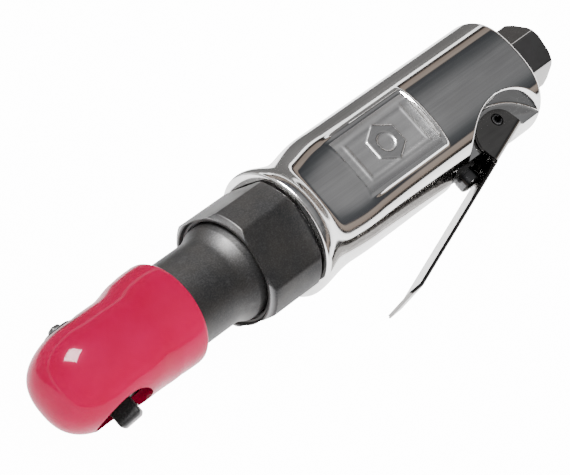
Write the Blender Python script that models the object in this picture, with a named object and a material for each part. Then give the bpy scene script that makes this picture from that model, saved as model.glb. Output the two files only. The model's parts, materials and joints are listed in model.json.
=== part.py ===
"""Air ratchet with a 1/4 in square drive, modelled as the pieces it comes apart into.

Frame: +X runs along the tool from the ratchet head to the air inlet, the square drive points
along -Y, and the name pocket faces +Z. The origin is the centre of the square drive's end face,
so the tool's own axis runs at y = DRIVE_REACH and the drive's axis is the world Y axis.
Every mesh is drawn in the tool's frame, which has its origin where those two axes cross.
"""
import math

import bmesh
import bpy
from mathutils import Matrix, Vector

MM = 0.001                      # everything below is stated in millimetres times MM
GAP = 0.3 * MM                  # space kept between neighbouring pieces
X_AXIS = Vector((1, 0, 0))
Y_AXIS = Vector((0, 1, 0))
Z_AXIS = Vector((0, 0, 1))

# Square drive and head
DRIVE_REACH = 16.7 * MM         # tool axis to the end of the square
SQUARE_SIDE = 6.35 * MM         # 1/4 in
SQUARE_TURN = math.radians(34)  # how far the square is turned from the tool's own axes
BALL_Y = -13.9 * MM             # where the socket ball sits along the drive
SPINDLE_R = 6.0 * MM
SPINDLE_FLANGE_R = 8.2 * MM
HEAD_HALF_Y = 10.9 * MM
HEAD_HALF_Z = 12.2 * MM
HEAD_NOSE = 12.7 * MM
HEAD_POWER = 2.6                # how square the head's cross-section is: 2 is an ellipse
BOOT_HALF_Y = 13.4 * MM
BOOT_HALF_Z = 14.2 * MM
BOOT_NOSE = 16.6 * MM
BOOT_END_X = 27.5 * MM
BOOT_COLLAR_R = 14.6 * MM
BOOT_HOLE_R = 8.5 * MM
KNOB_HOLE_R = 6.3 * MM
RING_ROOM_R = 7.6 * MM            # hollow inside the boot for the retaining ring
NECK_R = 12.1 * MM
SLOT_HALF_Y = 4.9 * MM          # the fork that holds the yoke
YOKE_R = 10.8 * MM
YOKE_HALF_Y = 4.6 * MM
YOKE_TOOTH_R = 7.2 * MM
YOKE_TEETH = 24

# Crankshaft
CRANK_THROW = 1.1 * MM
CRANK_R = 4.6 * MM
CRANK_BORE_R = 6.4 * MM

# Clamp nut and shoulder
SHOULDER_R = 13.7 * MM
FLANGE_R = 14.5 * MM
NUT_R = 17.4 * MM
NUT_FLAT_ANGLE = math.radians(20)   # first of the four flats, turned from +Z toward -Y
NUT_X = (48.4 * MM, 67.4 * MM)
NUT_SPIGOT_R = 14.8 * MM
NUT_SPIGOT_END = 69.7 * MM

# Motor housing
RIM_X = 68.0 * MM
RIM_R = 18.5 * MM
GRIP_R = 17.5 * MM
GRIP_FLAT = 15.9 * MM           # height of the two broad faces above the tool axis
WAIST_DEPTH = 1.9 * MM
WAIST_X = (70.4 * MM, 88.0 * MM)
HOUSING_END_X = 160.5 * MM
MOTOR_BORE_R = 13.7 * MM
MOTOR_R = MOTOR_BORE_R - GAP
MOTOR_BORE_END = 123.4 * MM
POCKET_X = (89.8 * MM, 119.6 * MM)
POCKET_Y = (-8.5 * MM, 9.2 * MM)
POCKET_FLOOR = 14.6 * MM

# Planetary gears: module, teeth of sun, planet and ring
MODULE = 0.7 * MM
SUN_TEETH = 9
PLANET_TEETH = 12
RING_TEETH = 33
PLANETS = 3
GEAR_X = (74.6 * MM, 83.4 * MM)
PRESSURE = math.radians(20)
PLANET_ORBIT = MODULE * (SUN_TEETH + PLANET_TEETH) / 2

# Vane motor
ROTOR_R = 9.4 * MM
ROTOR_X = (91.6 * MM, 117.4 * MM)
LINER_X = (91.4 * MM, 117.6 * MM)
LINER_BORE_R = 10.8 * MM
LINER_OFFSET = 1.1 * MM
SHAFT_R = 3.1 * MM
VANES = 5
DOWEL_Y = -11.9 * MM
FRONT_PLATE_X = (85.2 * MM, 91.0 * MM)
REAR_PLATE_X = (118.0 * MM, 123.0 * MM)
BEARING_R = 7.5 * MM

# Lever and valve
HINGE = Vector((145.0 * MM, -11.3 * MM, 0))
LEVER_ANGLE = math.radians(16.5)
LEVER_LENGTH = 61.0 * MM
LEVER_TIP = 4.6 * MM
LEVER_HALF_Z = 7.4 * MM
SHEET = 1.0 * MM
LEVER_OUT = 6.3 * MM            # hinge to the outer face of the lever's web
EAR_CENTRE = (3.4 * MM, 2.2 * MM)   # of the ear's ellipse, along and away from the hinge
EAR_ALONG = 8.2 * MM
EAR_ACROSS = 6.2 * MM
LUG_HALF_Z = 6.1 * MM
SCALLOP_R = 17.9 * MM
SCALLOP_AT = Vector((143.7 * MM, -24.5 * MM, 0))
RELIEF_Y = -16.0 * MM           # flat under the lug that the closing lever swings over
LUG_REACH = 4.75 * MM           # hinge to the lug's underside, inside the lever's web
PIN_R = 1.6 * MM
VALVE_X = 129.0 * MM
VALVE_BORE_R = 4.8 * MM
PLUNGER_R = 3.4 * MM
PLUNGER_END = -20.9 * MM

# Air inlet
HEX_FLATS = 17.5 * MM
HEX_TURN = math.radians(43.5)
HEX_X = (161.7 * MM, 175.9 * MM)
INLET_BORE_R = 7.6 * MM
INLET_SOCKET_R = 5.6 * MM


# ---------------------------------------------------------------- scene, materials, placing
def clear_scene():
    for thing in list(bpy.data.objects):
        bpy.data.objects.remove(thing, do_unlink=True)


def material(name, colour, roughness, metallic):
    """One plain Principled material."""
    made = bpy.data.materials.new(name)
    made.use_nodes = True
    shader = made.node_tree.nodes["Principled BSDF"]
    shader.inputs["Base Color"].default_value = (*colour, 1)
    shader.inputs["Roughness"].default_value = roughness
    shader.inputs["Metallic"].default_value = metallic
    made.diffuse_color = (*colour, 1)
    return made


def tool_frame():
    """Empty where the tool's axis crosses the drive's axis; every piece hangs from it."""
    frame = bpy.data.objects.new("tool_frame", None)
    bpy.context.collection.objects.link(frame)
    frame.location = (0, DRIVE_REACH, 0)
    return frame


def place(name, bm, look, at=(0, 0, 0)):
    """Turn a bmesh drawn round its own origin into a named, smooth-shaded object."""
    bmesh.ops.recalc_face_normals(bm, faces=bm.faces)
    mesh = bpy.data.meshes.new(name)
    bm.to_mesh(mesh)
    bm.free()
    mesh.materials.append(look)
    mesh.shade_smooth()
    mesh.set_sharp_from_angle(angle=math.radians(35))
    made = bpy.data.objects.new(name, mesh)
    bpy.context.collection.objects.link(made)
    made.parent = TOOL
    made.location = at
    return made


def boolean(target, bm, operation="DIFFERENCE"):
    """Cut or join a bmesh drawn in the tool's frame; the helper object is hidden."""
    helper = place(f"{target.name}_{operation.lower()}_{len(target.modifiers)}", bm, HELPER)
    helper.hide_render = True
    helper.display_type = "WIRE"
    modifier = target.modifiers.new(operation.title(), "BOOLEAN")
    modifier.operation = operation
    modifier.solver = "EXACT"
    modifier.object = helper


# ---------------------------------------------------------------- shape tools
def circle(radius, count, centre=(0, 0)):
    """Points of a circle, counter-clockwise."""
    turn = 2 * math.pi / count
    return [(centre[0] + radius * math.cos(turn * i), centre[1] + radius * math.sin(turn * i))
            for i in range(count)]


def on_axis(axis, along, u, v):
    """A point at distance along an axis, with u and v across it."""
    if axis is X_AXIS:
        return Vector((along, u, v))
    if axis is Y_AXIS:
        return Vector((u, along, v))
    return Vector((u, v, along))


def turned(profile, axis, count=20, centre=(0, 0, 0), ring=True):
    """Spin (along, radius) points about an axis. A ring's outline closes on itself."""
    bm = bmesh.new()
    points = [bm.verts.new(on_axis(axis, along, radius, 0)) for along, radius in profile]
    edges = [bm.edges.new(pair) for pair in zip(points, points[1:])]
    if ring:
        edges.append(bm.edges.new((points[-1], points[0])))
    bmesh.ops.spin(bm, geom=points + edges, cent=(0, 0, 0), axis=axis, angle=2 * math.pi,
                   steps=count, use_merge=True)
    bmesh.ops.remove_doubles(bm, verts=bm.verts, dist=1e-6)
    bmesh.ops.translate(bm, verts=bm.verts, vec=centre)
    return bm


def tube(axis, start, end, inner, outer, count=20, centre=(0, 0, 0)):
    profile = [(start, inner), (start, outer), (end, outer), (end, inner)]
    return turned(profile, axis, count, centre)


def rod(axis, start, end, radius, count=20, centre=(0, 0, 0), chamfer=0.0):
    profile = [(start, 0), (start, radius - chamfer), (start + chamfer, radius),
               (end - chamfer, radius), (end, radius - chamfer), (end, 0)]
    return turned(profile, axis, count, centre, ring=False)


def plate(loops, axis, start, end):
    """Fill outlines (the first is the edge, the others are holes) and extrude along an axis."""
    bm = bmesh.new()
    edges = []
    for loop in loops:
        points = [bm.verts.new(on_axis(axis, start, u, v)) for u, v in loop]
        edges += [bm.edges.new(pair) for pair in zip(points, points[1:] + points[:1])]
    bmesh.ops.triangle_fill(bm, use_beauty=True, edges=edges, normal=axis)
    made = bmesh.ops.extrude_face_region(bm, geom=bm.faces[:])
    moved = [item for item in made["geom"] if isinstance(item, bmesh.types.BMVert)]
    bmesh.ops.translate(bm, verts=moved, vec=axis * (end - start))
    return bm


def box(low, high):
    size = Vector(high) - Vector(low)
    middle = (Vector(high) + Vector(low)) / 2
    bm = bmesh.new()
    stretched = Matrix.Translation(middle) @ Matrix.Diagonal((*size, 1))
    bmesh.ops.create_cube(bm, size=1.0, matrix=stretched)
    return bm


def loft(sections, around=False):
    """Skin closed sections of equal count; the ends are capped, or joined when around is true."""
    bm = bmesh.new()
    rings = [[bm.verts.new(point) for point in section] for section in sections]
    pairs = list(zip(rings, rings[1:]))
    if around:
        pairs.append((rings[-1], rings[0]))
    for one, two in pairs:
        for i in range(len(one)):
            bm.faces.new((one[i - 1], one[i], two[i], two[i - 1]))
    if not around:
        bm.faces.new(rings[0])
        bm.faces.new(rings[-1])
    return bm


def oval(x, half_y, half_z, power, count=32):
    """Cross-section |y/half_y|^power + |z/half_z|^power = 1 at a place along the tool."""
    section = []
    for i in range(count):
        angle = 2 * math.pi * i / count
        c, s = math.cos(angle), math.sin(angle)
        reach = (abs(c) ** power + abs(s) ** power) ** (-1 / power)
        section.append(Vector((x, half_y * reach * c, half_z * reach * s)))
    return section


def nose(reach, half_y, half_z, steps=(16, 38, 60, 80)):
    """Ovals of the rounded front end: round seen along Y, blunter seen along Z."""
    return [oval(-reach * math.cos(math.radians(a)), half_y * math.sin(math.radians(a)) ** 0.6,
                 half_z * math.sin(math.radians(a)), HEAD_POWER) for a in steps]


def involute_gear(teeth, addendum, dedendum, fill, phase, outward=True):
    """Outline of a spur gear. fill is the share of the half pitch that the tooth takes at the
    pitch circle; for a ring gear (outward false) the tooth drawn is the space between teeth."""
    pitch_r = MODULE * teeth / 2
    base_r = pitch_r * math.cos(PRESSURE)
    half = math.pi / (2 * teeth) * fill
    pitch_inv = math.tan(PRESSURE) - PRESSURE

    def half_angle(radius):
        slope = math.acos(min(1.0, base_r / radius))
        return half + pitch_inv - (math.tan(slope) - slope)

    low = pitch_r - (dedendum if outward else addendum)
    high = pitch_r + (addendum if outward else dedendum)
    outline = []
    for tooth in range(teeth):
        middle = phase + 2 * math.pi * tooth / teeth
        for radius, side in ((low, -1), (pitch_r, -1), (high, -1), (high, 1), (pitch_r, 1), (low, 1)):
            angle = middle + side * half_angle(radius)
            outline.append((radius * math.cos(angle), radius * math.sin(angle)))
    return outline


def coil(start, end, radius, wire, turns, steps=12, sides=5):
    """Round wire wound about +Y, its ends closed."""
    sections = []
    for i in range(turns * steps + 1):
        angle = 2 * math.pi * i / steps
        outward = Vector((math.cos(angle), 0, math.sin(angle)))
        middle = outward * radius + Y_AXIS * (start + (end - start) * i / (turns * steps))
        sections.append([middle + outward * u + Y_AXIS * v for u, v in circle(wire, sides)])
    return loft(sections)


# ---------------------------------------------------------------- ratchet head
def build_boot():
    """Soft cover over the head, one wall thick, with a round hole on the drive and knob sides."""
    outer = nose(BOOT_NOSE, BOOT_HALF_Y, BOOT_HALF_Z)
    outer += [oval(3 * MM, BOOT_HALF_Y, BOOT_HALF_Z, HEAD_POWER),
              oval(13 * MM, BOOT_HALF_Y, BOOT_HALF_Z, HEAD_POWER),
              oval(16.5 * MM, 13.1 * MM, 13.6 * MM, 2.3),
              oval(18.5 * MM, 14.3 * MM, 14.3 * MM, 2),
              oval(26.7 * MM, BOOT_COLLAR_R, BOOT_COLLAR_R, 2),
              oval(BOOT_END_X, 14.1 * MM, 14.1 * MM, 2)]
    inner = nose(HEAD_NOSE + 0.4 * MM, HEAD_HALF_Y + GAP, HEAD_HALF_Z + 0.4 * MM)
    inner += [oval(3 * MM, HEAD_HALF_Y + GAP, HEAD_HALF_Z + 0.4 * MM, HEAD_POWER),
              oval(13 * MM, HEAD_HALF_Y + GAP, HEAD_HALF_Z + 0.4 * MM, HEAD_POWER),
              oval(18 * MM, NECK_R + GAP, NECK_R + GAP, 2),
              oval(BOOT_END_X, NECK_R + GAP, NECK_R + GAP, 2)]
    bm = loft(outer)
    bm.faces.remove(max(bm.faces, key=lambda face: face.calc_center_median().x))
    rim = [vert for vert in bm.verts if vert.is_boundary]
    lining = [[bm.verts.new(point) for point in section] for section in inner]
    outer_rim = sorted(rim, key=lambda vert: math.atan2(vert.co.z, vert.co.y) % (2 * math.pi))
    rings = [outer_rim] + lining[::-1]
    for one, two in zip(rings, rings[1:]):
        for i in range(len(one)):
            bm.faces.new((one[i - 1], one[i], two[i], two[i - 1]))
    bm.faces.new(lining[0])
    boot = place("boot", bm, PVC)
    boolean(boot, rod(Y_AXIS, -18 * MM, -7 * MM, BOOT_HOLE_R, 28))
    boolean(boot, rod(Y_AXIS, 7 * MM, 18 * MM, KNOB_HOLE_R, 24))
    boolean(boot, rod(Y_AXIS, 7 * MM, 11.6 * MM, RING_ROOM_R, 28))
    boolean(boot, rod(Y_AXIS, 7 * MM, 10.9 * MM, BOOT_HOLE_R, 28))


def build_ratchet_housing():
    """Forked head, neck, flared shoulder and rear flange in one steel body."""
    sections = nose(HEAD_NOSE, HEAD_HALF_Y, HEAD_HALF_Z)
    sections += [oval(3 * MM, HEAD_HALF_Y, HEAD_HALF_Z, HEAD_POWER),
                 oval(13 * MM, HEAD_HALF_Y, HEAD_HALF_Z, HEAD_POWER),
                 oval(18 * MM, NECK_R, NECK_R, 2)]
    flare = SHOULDER_R - NECK_R
    for share in (0.0, 0.5, 0.8, 1.0):
        radius = NECK_R + flare * (1 - math.cos(share * math.pi / 2))
        sections.append(oval(42.5 * MM + share * 5.0 * MM, radius, radius, 2))
    for x, radius in ((70 * MM, SHOULDER_R), (70 * MM, FLANGE_R), (74 * MM, FLANGE_R)):
        sections.append(oval(x, radius, radius, 2))
    body = place("ratchet_housing", loft(sections), BLACK_STEEL)
    boolean(body, box((-16 * MM, -SLOT_HALF_Y, -16 * MM), (17 * MM, SLOT_HALF_Y, 16 * MM)))
    boolean(body, rod(Y_AXIS, -14 * MM, 14 * MM, SPINDLE_R + GAP, 24))
    boolean(body, rod(Y_AXIS, -16 * MM, -9.6 * MM, SPINDLE_FLANGE_R + 0.4 * MM, 24))
    boolean(body, rod(Y_AXIS, 9.6 * MM, 16 * MM, SPINDLE_FLANGE_R + 0.4 * MM, 24))
    boring = [(15 * MM, 0), (15 * MM, 9.0 * MM), (24 * MM, 9.0 * MM), (24 * MM, CRANK_BORE_R),
              (64.5 * MM, CRANK_BORE_R), (64.5 * MM, 11.0 * MM), (75 * MM, 11.0 * MM), (75 * MM, 0)]
    boolean(body, turned(boring, X_AXIS, 24, ring=False))


def square_section(y, half, corner, count=24):
    """Square of a half side with its corners turned down to a radius, seen along the drive."""
    section = []
    for i in range(count):
        angle = 2 * math.pi * i / count
        flat = half / max(abs(math.cos(angle)), abs(math.sin(angle)))
        radius = min(flat, corner)
        turned_to = angle + SQUARE_TURN
        section.append(Vector((radius * math.cos(turned_to), y, radius * math.sin(turned_to))))
    return section


def build_square_drive():
    """Spindle with the retaining groove, the drum that holds the pawl, the flange and the square."""
    half = SQUARE_SIDE / 2
    round_steps = ((11.9, 5.6), (11.5, 6.0), (11.35, 6.0), (11.35, 5.0), (10.75, 5.0), (10.75, 6.0),
                   (-9.9, 6.0), (-9.9, 8.2), (-10.8, 8.2), (-10.8, 4.4), (-11.3, 4.4))
    sections = [square_section(y * MM, 1.0, radius * MM) for y, radius in round_steps]
    end = -DRIVE_REACH
    sections += [square_section(y, side, side * 1.3) for y, side in
                 ((-11.3 * MM, half), (end + 0.9 * MM, half), (end, half - 0.7 * MM))]
    spindle = place("square_drive", loft(sections), BLACK_STEEL)
    boolean(spindle, box((-8 * MM, -4.2 * MM, -3.0 * MM), (8 * MM, 4.2 * MM, 3.0 * MM)))
    boolean(spindle, rod(Y_AXIS, 4.0 * MM, 13 * MM, 3.8 * MM))
    boolean(spindle, rod(Y_AXIS, -6.9 * MM, -4.0 * MM, 1.2 * MM, 12))
    out = ball_direction()
    hole = rod(X_AXIS, 0.4 * MM, 5 * MM, 1.25 * MM, 16)
    bmesh.ops.rotate(hole, verts=hole.verts, matrix=Matrix.Rotation(-SQUARE_TURN, 3, "Y"))
    bmesh.ops.translate(hole, verts=hole.verts, vec=(0, BALL_Y, 0))
    boolean(spindle, hole)
    ball = bmesh.new()
    bmesh.ops.create_icosphere(ball, subdivisions=2, radius=0.95 * MM)
    place("socket_ball", ball, BRIGHT_STEEL, Vector((0, BALL_Y, 0)) + out * (half - 0.55 * MM))
    spring = tube(X_AXIS, 0.6 * MM, 1.4 * MM, 0.4 * MM, 0.9 * MM, 16)
    bmesh.ops.rotate(spring, verts=spring.verts, matrix=Matrix.Rotation(-SQUARE_TURN, 3, "Y"))
    place("socket_ball_spring", spring, SPRING_STEEL, (0, BALL_Y, 0))


def ball_direction():
    """Outward normal of the flat that holds the socket ball."""
    return Vector((math.cos(SQUARE_TURN), 0, math.sin(SQUARE_TURN)))


def build_yoke():
    """Ring with inner teeth that rocks about the drive, and a fork that the crank pin swings."""
    arm, slot, back = 6.0 * MM, 4.7 * MM, 21.0 * MM
    start = math.asin(arm / YOKE_R)
    steps = 30
    outline = []
    for i in range(steps + 1):
        angle = start + (2 * math.pi - 2 * start) * i / steps
        outline.append((YOKE_R * math.cos(angle), YOKE_R * math.sin(angle)))
    root = 12.6 * MM
    outline += [(back, -arm), (back, -slot), (root, -slot), (root, slot), (back, slot), (back, arm)]
    teeth = []
    for i in range(2 * YOKE_TEETH):
        radius = YOKE_TOOTH_R + (0.6 * MM if i % 2 else 0)
        angle = math.pi * i / YOKE_TEETH
        teeth.append((radius * math.cos(angle), radius * math.sin(angle)))
    place("ratchet_yoke", plate([outline, teeth], Y_AXIS, -YOKE_HALF_Y, YOKE_HALF_Y), BRIGHT_STEEL)


def build_pawl():
    """Two-ended pawl on its pin; whichever end is tipped out meets the yoke's teeth."""
    tip, waist = 6.7 * MM, 1.9 * MM
    outline = [(tip, 0.5 * MM), (4.6 * MM, waist), (-4.6 * MM, waist), (-tip, 0.5 * MM),
               (-tip, -0.5 * MM), (-4.6 * MM, -waist), (4.6 * MM, -waist), (tip, -0.5 * MM)]
    pawl = plate([outline, circle(1.2 * MM, 16)], Y_AXIS, -3.8 * MM, 3.6 * MM)
    place("ratchet_pawl", pawl, BRIGHT_STEEL)
    place("pawl_pin", rod(Y_AXIS, -6.6 * MM, 3.6 * MM, 0.9 * MM, 16), BRIGHT_STEEL)


def build_reverse_knob():
    """Knob with a thumb tab; its stem sits in the spindle and tips the pawl through a plunger."""
    profile = [(4.6 * MM, 0), (4.6 * MM, 3.5 * MM), (12.2 * MM, 3.5 * MM), (12.2 * MM, 4.8 * MM),
               (12.4 * MM, 4.8 * MM), (12.6 * MM, 4.6 * MM), (12.6 * MM, 0)]
    knob = place("reverse_knob", turned(profile, Y_AXIS, 24, ring=False), BLACK_STEEL)
    boolean(knob, box((-0.4 * MM, 12.5 * MM, -4.2 * MM), (2.6 * MM, 14.3 * MM, -0.4 * MM)), "UNION")
    beside = (2.0 * MM, 0, 0)
    boolean(knob, rod(Y_AXIS, 4 * MM, 9.6 * MM, 1.15 * MM, 16, beside))
    place("knob_plunger", rod(Y_AXIS, 3.9 * MM, 7.0 * MM, 0.85 * MM, 16, beside), BRIGHT_STEEL)
    spring = tube(Y_AXIS, 7.3 * MM, 9.3 * MM, 0.45 * MM, 0.85 * MM, 16, beside)
    place("knob_plunger_spring", spring, SPRING_STEEL)


def build_head_washers():
    """Thrust washer, spring washer and retaining ring on the knob side of the spindle."""
    inner = SPINDLE_R + GAP
    place("thrust_washer", tube(Y_AXIS, 9.75 * MM, 10.15 * MM, inner, 8.2 * MM), BRIGHT_STEEL)
    place("spring_washer", tube(Y_AXIS, 10.3 * MM, 10.6 * MM, inner, 8.0 * MM), SPRING_STEEL)
    gap_angle, count = math.radians(25), 18
    angles = [gap_angle + (2 * math.pi - 2 * gap_angle) * i / count for i in range(count + 1)]
    outline = [(7.2 * MM * math.cos(a), 7.2 * MM * math.sin(a)) for a in angles]
    outline += [(5.3 * MM * math.cos(a), 5.3 * MM * math.sin(a)) for a in reversed(angles)]
    place("retaining_ring", plate([outline], Y_AXIS, 10.85 * MM, 11.25 * MM), SPRING_STEEL)


# ---------------------------------------------------------------- crankshaft and gears
def build_crankshaft():
    """Planet carrier, shaft and offset crank pin; the pin stands off the tool axis toward +Y."""
    steps = ((14.2, 1.0, CRANK_THROW), (22.2, 1.0, CRANK_THROW), (22.2, 4.6, 0), (65.0, 4.6, 0),
             (65.0, 7.0, 0), (68.6, 7.0, 0), (68.6, 10.6, 0), (73.6, 10.6, 0))
    sections = []
    for x, radius, offset in steps:
        ring = [(x * MM, offset + y, z) for y, z in circle(radius * MM, 20)]
        sections.append([Vector(point) for point in ring])
    crank = place("crankshaft", loft(sections), BRIGHT_STEEL)
    for k in range(PLANETS):
        y, z = planet_centre(k)
        boolean(crank, rod(X_AXIS, 70.2 * MM, 75 * MM, 1.6 * MM, 12, centre=(0, y, z)))
    place("drive_bushing", tube(X_AXIS, 14.6 * MM, 20.4 * MM, 1.3 * MM, 1.75 * MM, 24,
                                centre=(0, CRANK_THROW, 0)), BRIGHT_STEEL)
    for name, start in (("crank_front_bearing", 25 * MM), ("crank_rear_bearing", 52 * MM)):
        place(name, tube(X_AXIS, start, start + 10 * MM, CRANK_R + GAP, CRANK_BORE_R - GAP), BRASS)


def planet_centre(k):
    angle = 2 * math.pi * k / PLANETS
    return PLANET_ORBIT * math.cos(angle), PLANET_ORBIT * math.sin(angle)


def build_gears():
    """Sun, three planets and the ring gear, drawn in mesh with a little backlash."""
    addendum, dedendum = 0.8 * MODULE, 1.05 * MODULE
    sun = involute_gear(SUN_TEETH, addendum, dedendum, 0.86, math.pi / SUN_TEETH)
    place("rotor_pinion", plate([sun, circle(1.5 * MM, 12)], X_AXIS, *GEAR_X), GEAR_STEEL)
    for k in range(PLANETS):
        y, z = planet_centre(k)
        teeth = involute_gear(PLANET_TEETH, addendum, dedendum, 0.86, 2 * math.pi * k / PLANETS)
        bm = plate([teeth, circle(1.6 * MM, 12)], X_AXIS, *GEAR_X)
        place(f"planet_gear_{k + 1}", bm, GEAR_STEEL, (0, y, z))
        pin = rod(X_AXIS, 70.5 * MM, 84.0 * MM, 1.3 * MM, 12)
        place(f"planet_pin_{k + 1}", pin, BRIGHT_STEEL, (0, y, z))
    space = involute_gear(RING_TEETH, addendum, dedendum, 1.14, 0, outward=False)
    place("ring_gear", plate([circle(MOTOR_R, 33), space], X_AXIS, 74.5 * MM, 84.7 * MM), GEAR_STEEL)


# ---------------------------------------------------------------- vane motor
def build_bearing(name, start, end):
    """Ball bearing as its two races and the cage that carries the balls."""
    place(f"{name}_outer_race", tube(X_AXIS, start, end, 5.7 * MM, BEARING_R), BRIGHT_STEEL)
    place(f"{name}_inner_race", tube(X_AXIS, start, end, SHAFT_R + GAP, 4.4 * MM, 16), BRIGHT_STEEL)
    balls, swell = 7, 0.18 * MM
    outer = []
    for i in range(4 * balls):
        angle = 2 * math.pi * i / (4 * balls)
        radius = 5.2 * MM + swell * math.cos(balls * angle)
        outer.append((radius * math.cos(angle), radius * math.sin(angle)))
    cage = plate([outer, circle(4.7 * MM, 14)], X_AXIS, start + 0.6 * MM, end - 0.6 * MM)
    place(f"{name}_ball_cage", cage, BRASS)


def build_end_plates():
    """Steel plates that close the cylinder and carry the rotor's bearings."""
    start, end = FRONT_PLATE_X
    front = [(start, MOTOR_R), (end, MOTOR_R), (end, 3.6 * MM), (89.9 * MM, 3.6 * MM),
             (89.9 * MM, 7.8 * MM), (start, 7.8 * MM)]
    front_plate = place("front_end_plate", turned(front, X_AXIS, 24), CAST_IRON)
    start, end = REAR_PLATE_X
    rear = [(start, MOTOR_R), (end, MOTOR_R), (end, 7.8 * MM), (119.1 * MM, 7.8 * MM),
            (119.1 * MM, 3.6 * MM), (start, 3.6 * MM)]
    rear_plate = place("rear_end_plate", turned(rear, X_AXIS, 24), CAST_IRON)
    for part in (front_plate, rear_plate):
        boolean(part, rod(X_AXIS, 87.5 * MM, 121 * MM, 1.2 * MM, 16, centre=(0, DOWEL_Y, 0)))
    build_bearing("front_bearing", 85.4 * MM, 89.6 * MM)
    build_bearing("rear_bearing", 119.4 * MM, 122.8 * MM)


def build_motor():
    """Cylinder with an offset bore, slotted rotor, vanes and the dowel that lines it all up."""
    loops = [circle(MOTOR_R, 32), circle(LINER_BORE_R, 28, (LINER_OFFSET, 0)),
             circle(1.2 * MM, 8, (DOWEL_Y, 0))]
    cylinder = place("motor_cylinder", plate(loops, X_AXIS, *LINER_X), CAST_IRON)
    for x in (98, 104.5, 111):
        boolean(cylinder, rod(Y_AXIS, 10.5 * MM, 16 * MM, 1.6 * MM, 10, centre=(x * MM, 0, 0)))
    dowel = rod(X_AXIS, 87.8 * MM, 120.7 * MM, 0.9 * MM, 12)
    place("cylinder_dowel", dowel, BRIGHT_STEEL, (0, DOWEL_Y, 0))
    half, depth, steps = 0.7 * MM, 4.4 * MM, 5
    side = math.asin(half / ROTOR_R)
    outline = []
    for vane in range(VANES):
        slot = 2 * math.pi * vane / VANES
        turn = Matrix.Rotation(slot, 2)
        outline += [tuple(turn @ Vector(p)) for p in ((depth, -half), (depth, half))]
        for i in range(steps + 1):
            angle = slot + side + (2 * math.pi / VANES - 2 * side) * i / steps
            outline.append((ROTOR_R * math.cos(angle), ROTOR_R * math.sin(angle)))
    rotor = place("rotor", plate([outline], X_AXIS, *ROTOR_X), BRIGHT_STEEL)
    shaft = [(74.8 * MM, 0), (74.8 * MM, 1.2 * MM), (84.9 * MM, 1.2 * MM), (84.9 * MM, SHAFT_R),
             (122.9 * MM, SHAFT_R), (122.9 * MM, 0)]
    boolean(rotor, turned(shaft, X_AXIS, 16, ring=False), "UNION")
    for vane in range(VANES):
        blade = box((ROTOR_X[0], 4.8 * MM, -0.4 * MM), (ROTOR_X[1], ROTOR_R - 0.05 * MM, 0.4 * MM))
        turn = Matrix.Rotation(2 * math.pi * vane / VANES, 3, "X")
        bmesh.ops.rotate(blade, verts=blade.verts, matrix=turn)
        place(f"rotor_vane_{vane + 1}", blade, FIBRE)


# ---------------------------------------------------------------- clamp nut and housing
def build_clamp_nut():
    """Nut with four flats; its rear spigot screws into the housing and clamps the flange."""
    flat = NUT_R * math.cos(math.radians(30))

    def section(x, limit, count=36):
        ring = []
        for i in range(count):
            angle = 2 * math.pi * i / count
            from_flat = (angle + math.pi / 4) % (math.pi / 2) - math.pi / 4
            radius = min(limit, flat / math.cos(from_flat))
            place_at = angle + NUT_FLAT_ANGLE
            ring.append(Vector((x, -radius * math.sin(place_at), radius * math.cos(place_at))))
        return ring

    bore, front, rear = 14.0 * MM, NUT_X[0], NUT_X[1]
    sections = [section(front, bore), section(front, 16.3 * MM), section(front + 1.1 * MM, NUT_R),
                section(rear - 1.0 * MM, NUT_R), section(rear, 16.5 * MM), section(rear, NUT_SPIGOT_R),
                section(NUT_SPIGOT_END, NUT_SPIGOT_R), section(NUT_SPIGOT_END, bore)]
    place("clamp_nut", loft(sections, around=True), BLACK_STEEL)


def housing_radius(x, angle):
    """Outer radius at a place along the tool and an angle from +Z: round rim, concave waist,
    then a round grip with two broad faces, closed by a rounded rear edge."""
    across = abs(math.cos(angle))
    power = 22
    face = GRIP_FLAT / max(across, 0.05)
    grip = (GRIP_R ** -power + face ** -power) ** (-1 / power)
    t = min(1.0, max(0.0, (x - WAIST_X[0]) / (WAIST_X[1] - WAIST_X[0])))
    ease = min(1.0, t * 2.2)
    ease = ease * ease * (3 - 2 * ease)
    toward_lever = max(0.0, math.sin(angle))
    depth = WAIST_DEPTH * (1 - 0.75 * toward_lever ** 2) * (1 - 0.45 * across)
    waist = depth * math.sin(math.pi * t ** 0.7) ** 2
    radius = RIM_R * (1 - ease) + grip * ease - waist
    rear = max(0.0, (x - (HOUSING_END_X - 3.0 * MM)) / (3.0 * MM))
    return radius - 3.0 * MM * (1 - math.sqrt(max(0.0, 1 - rear * rear)))


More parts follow.
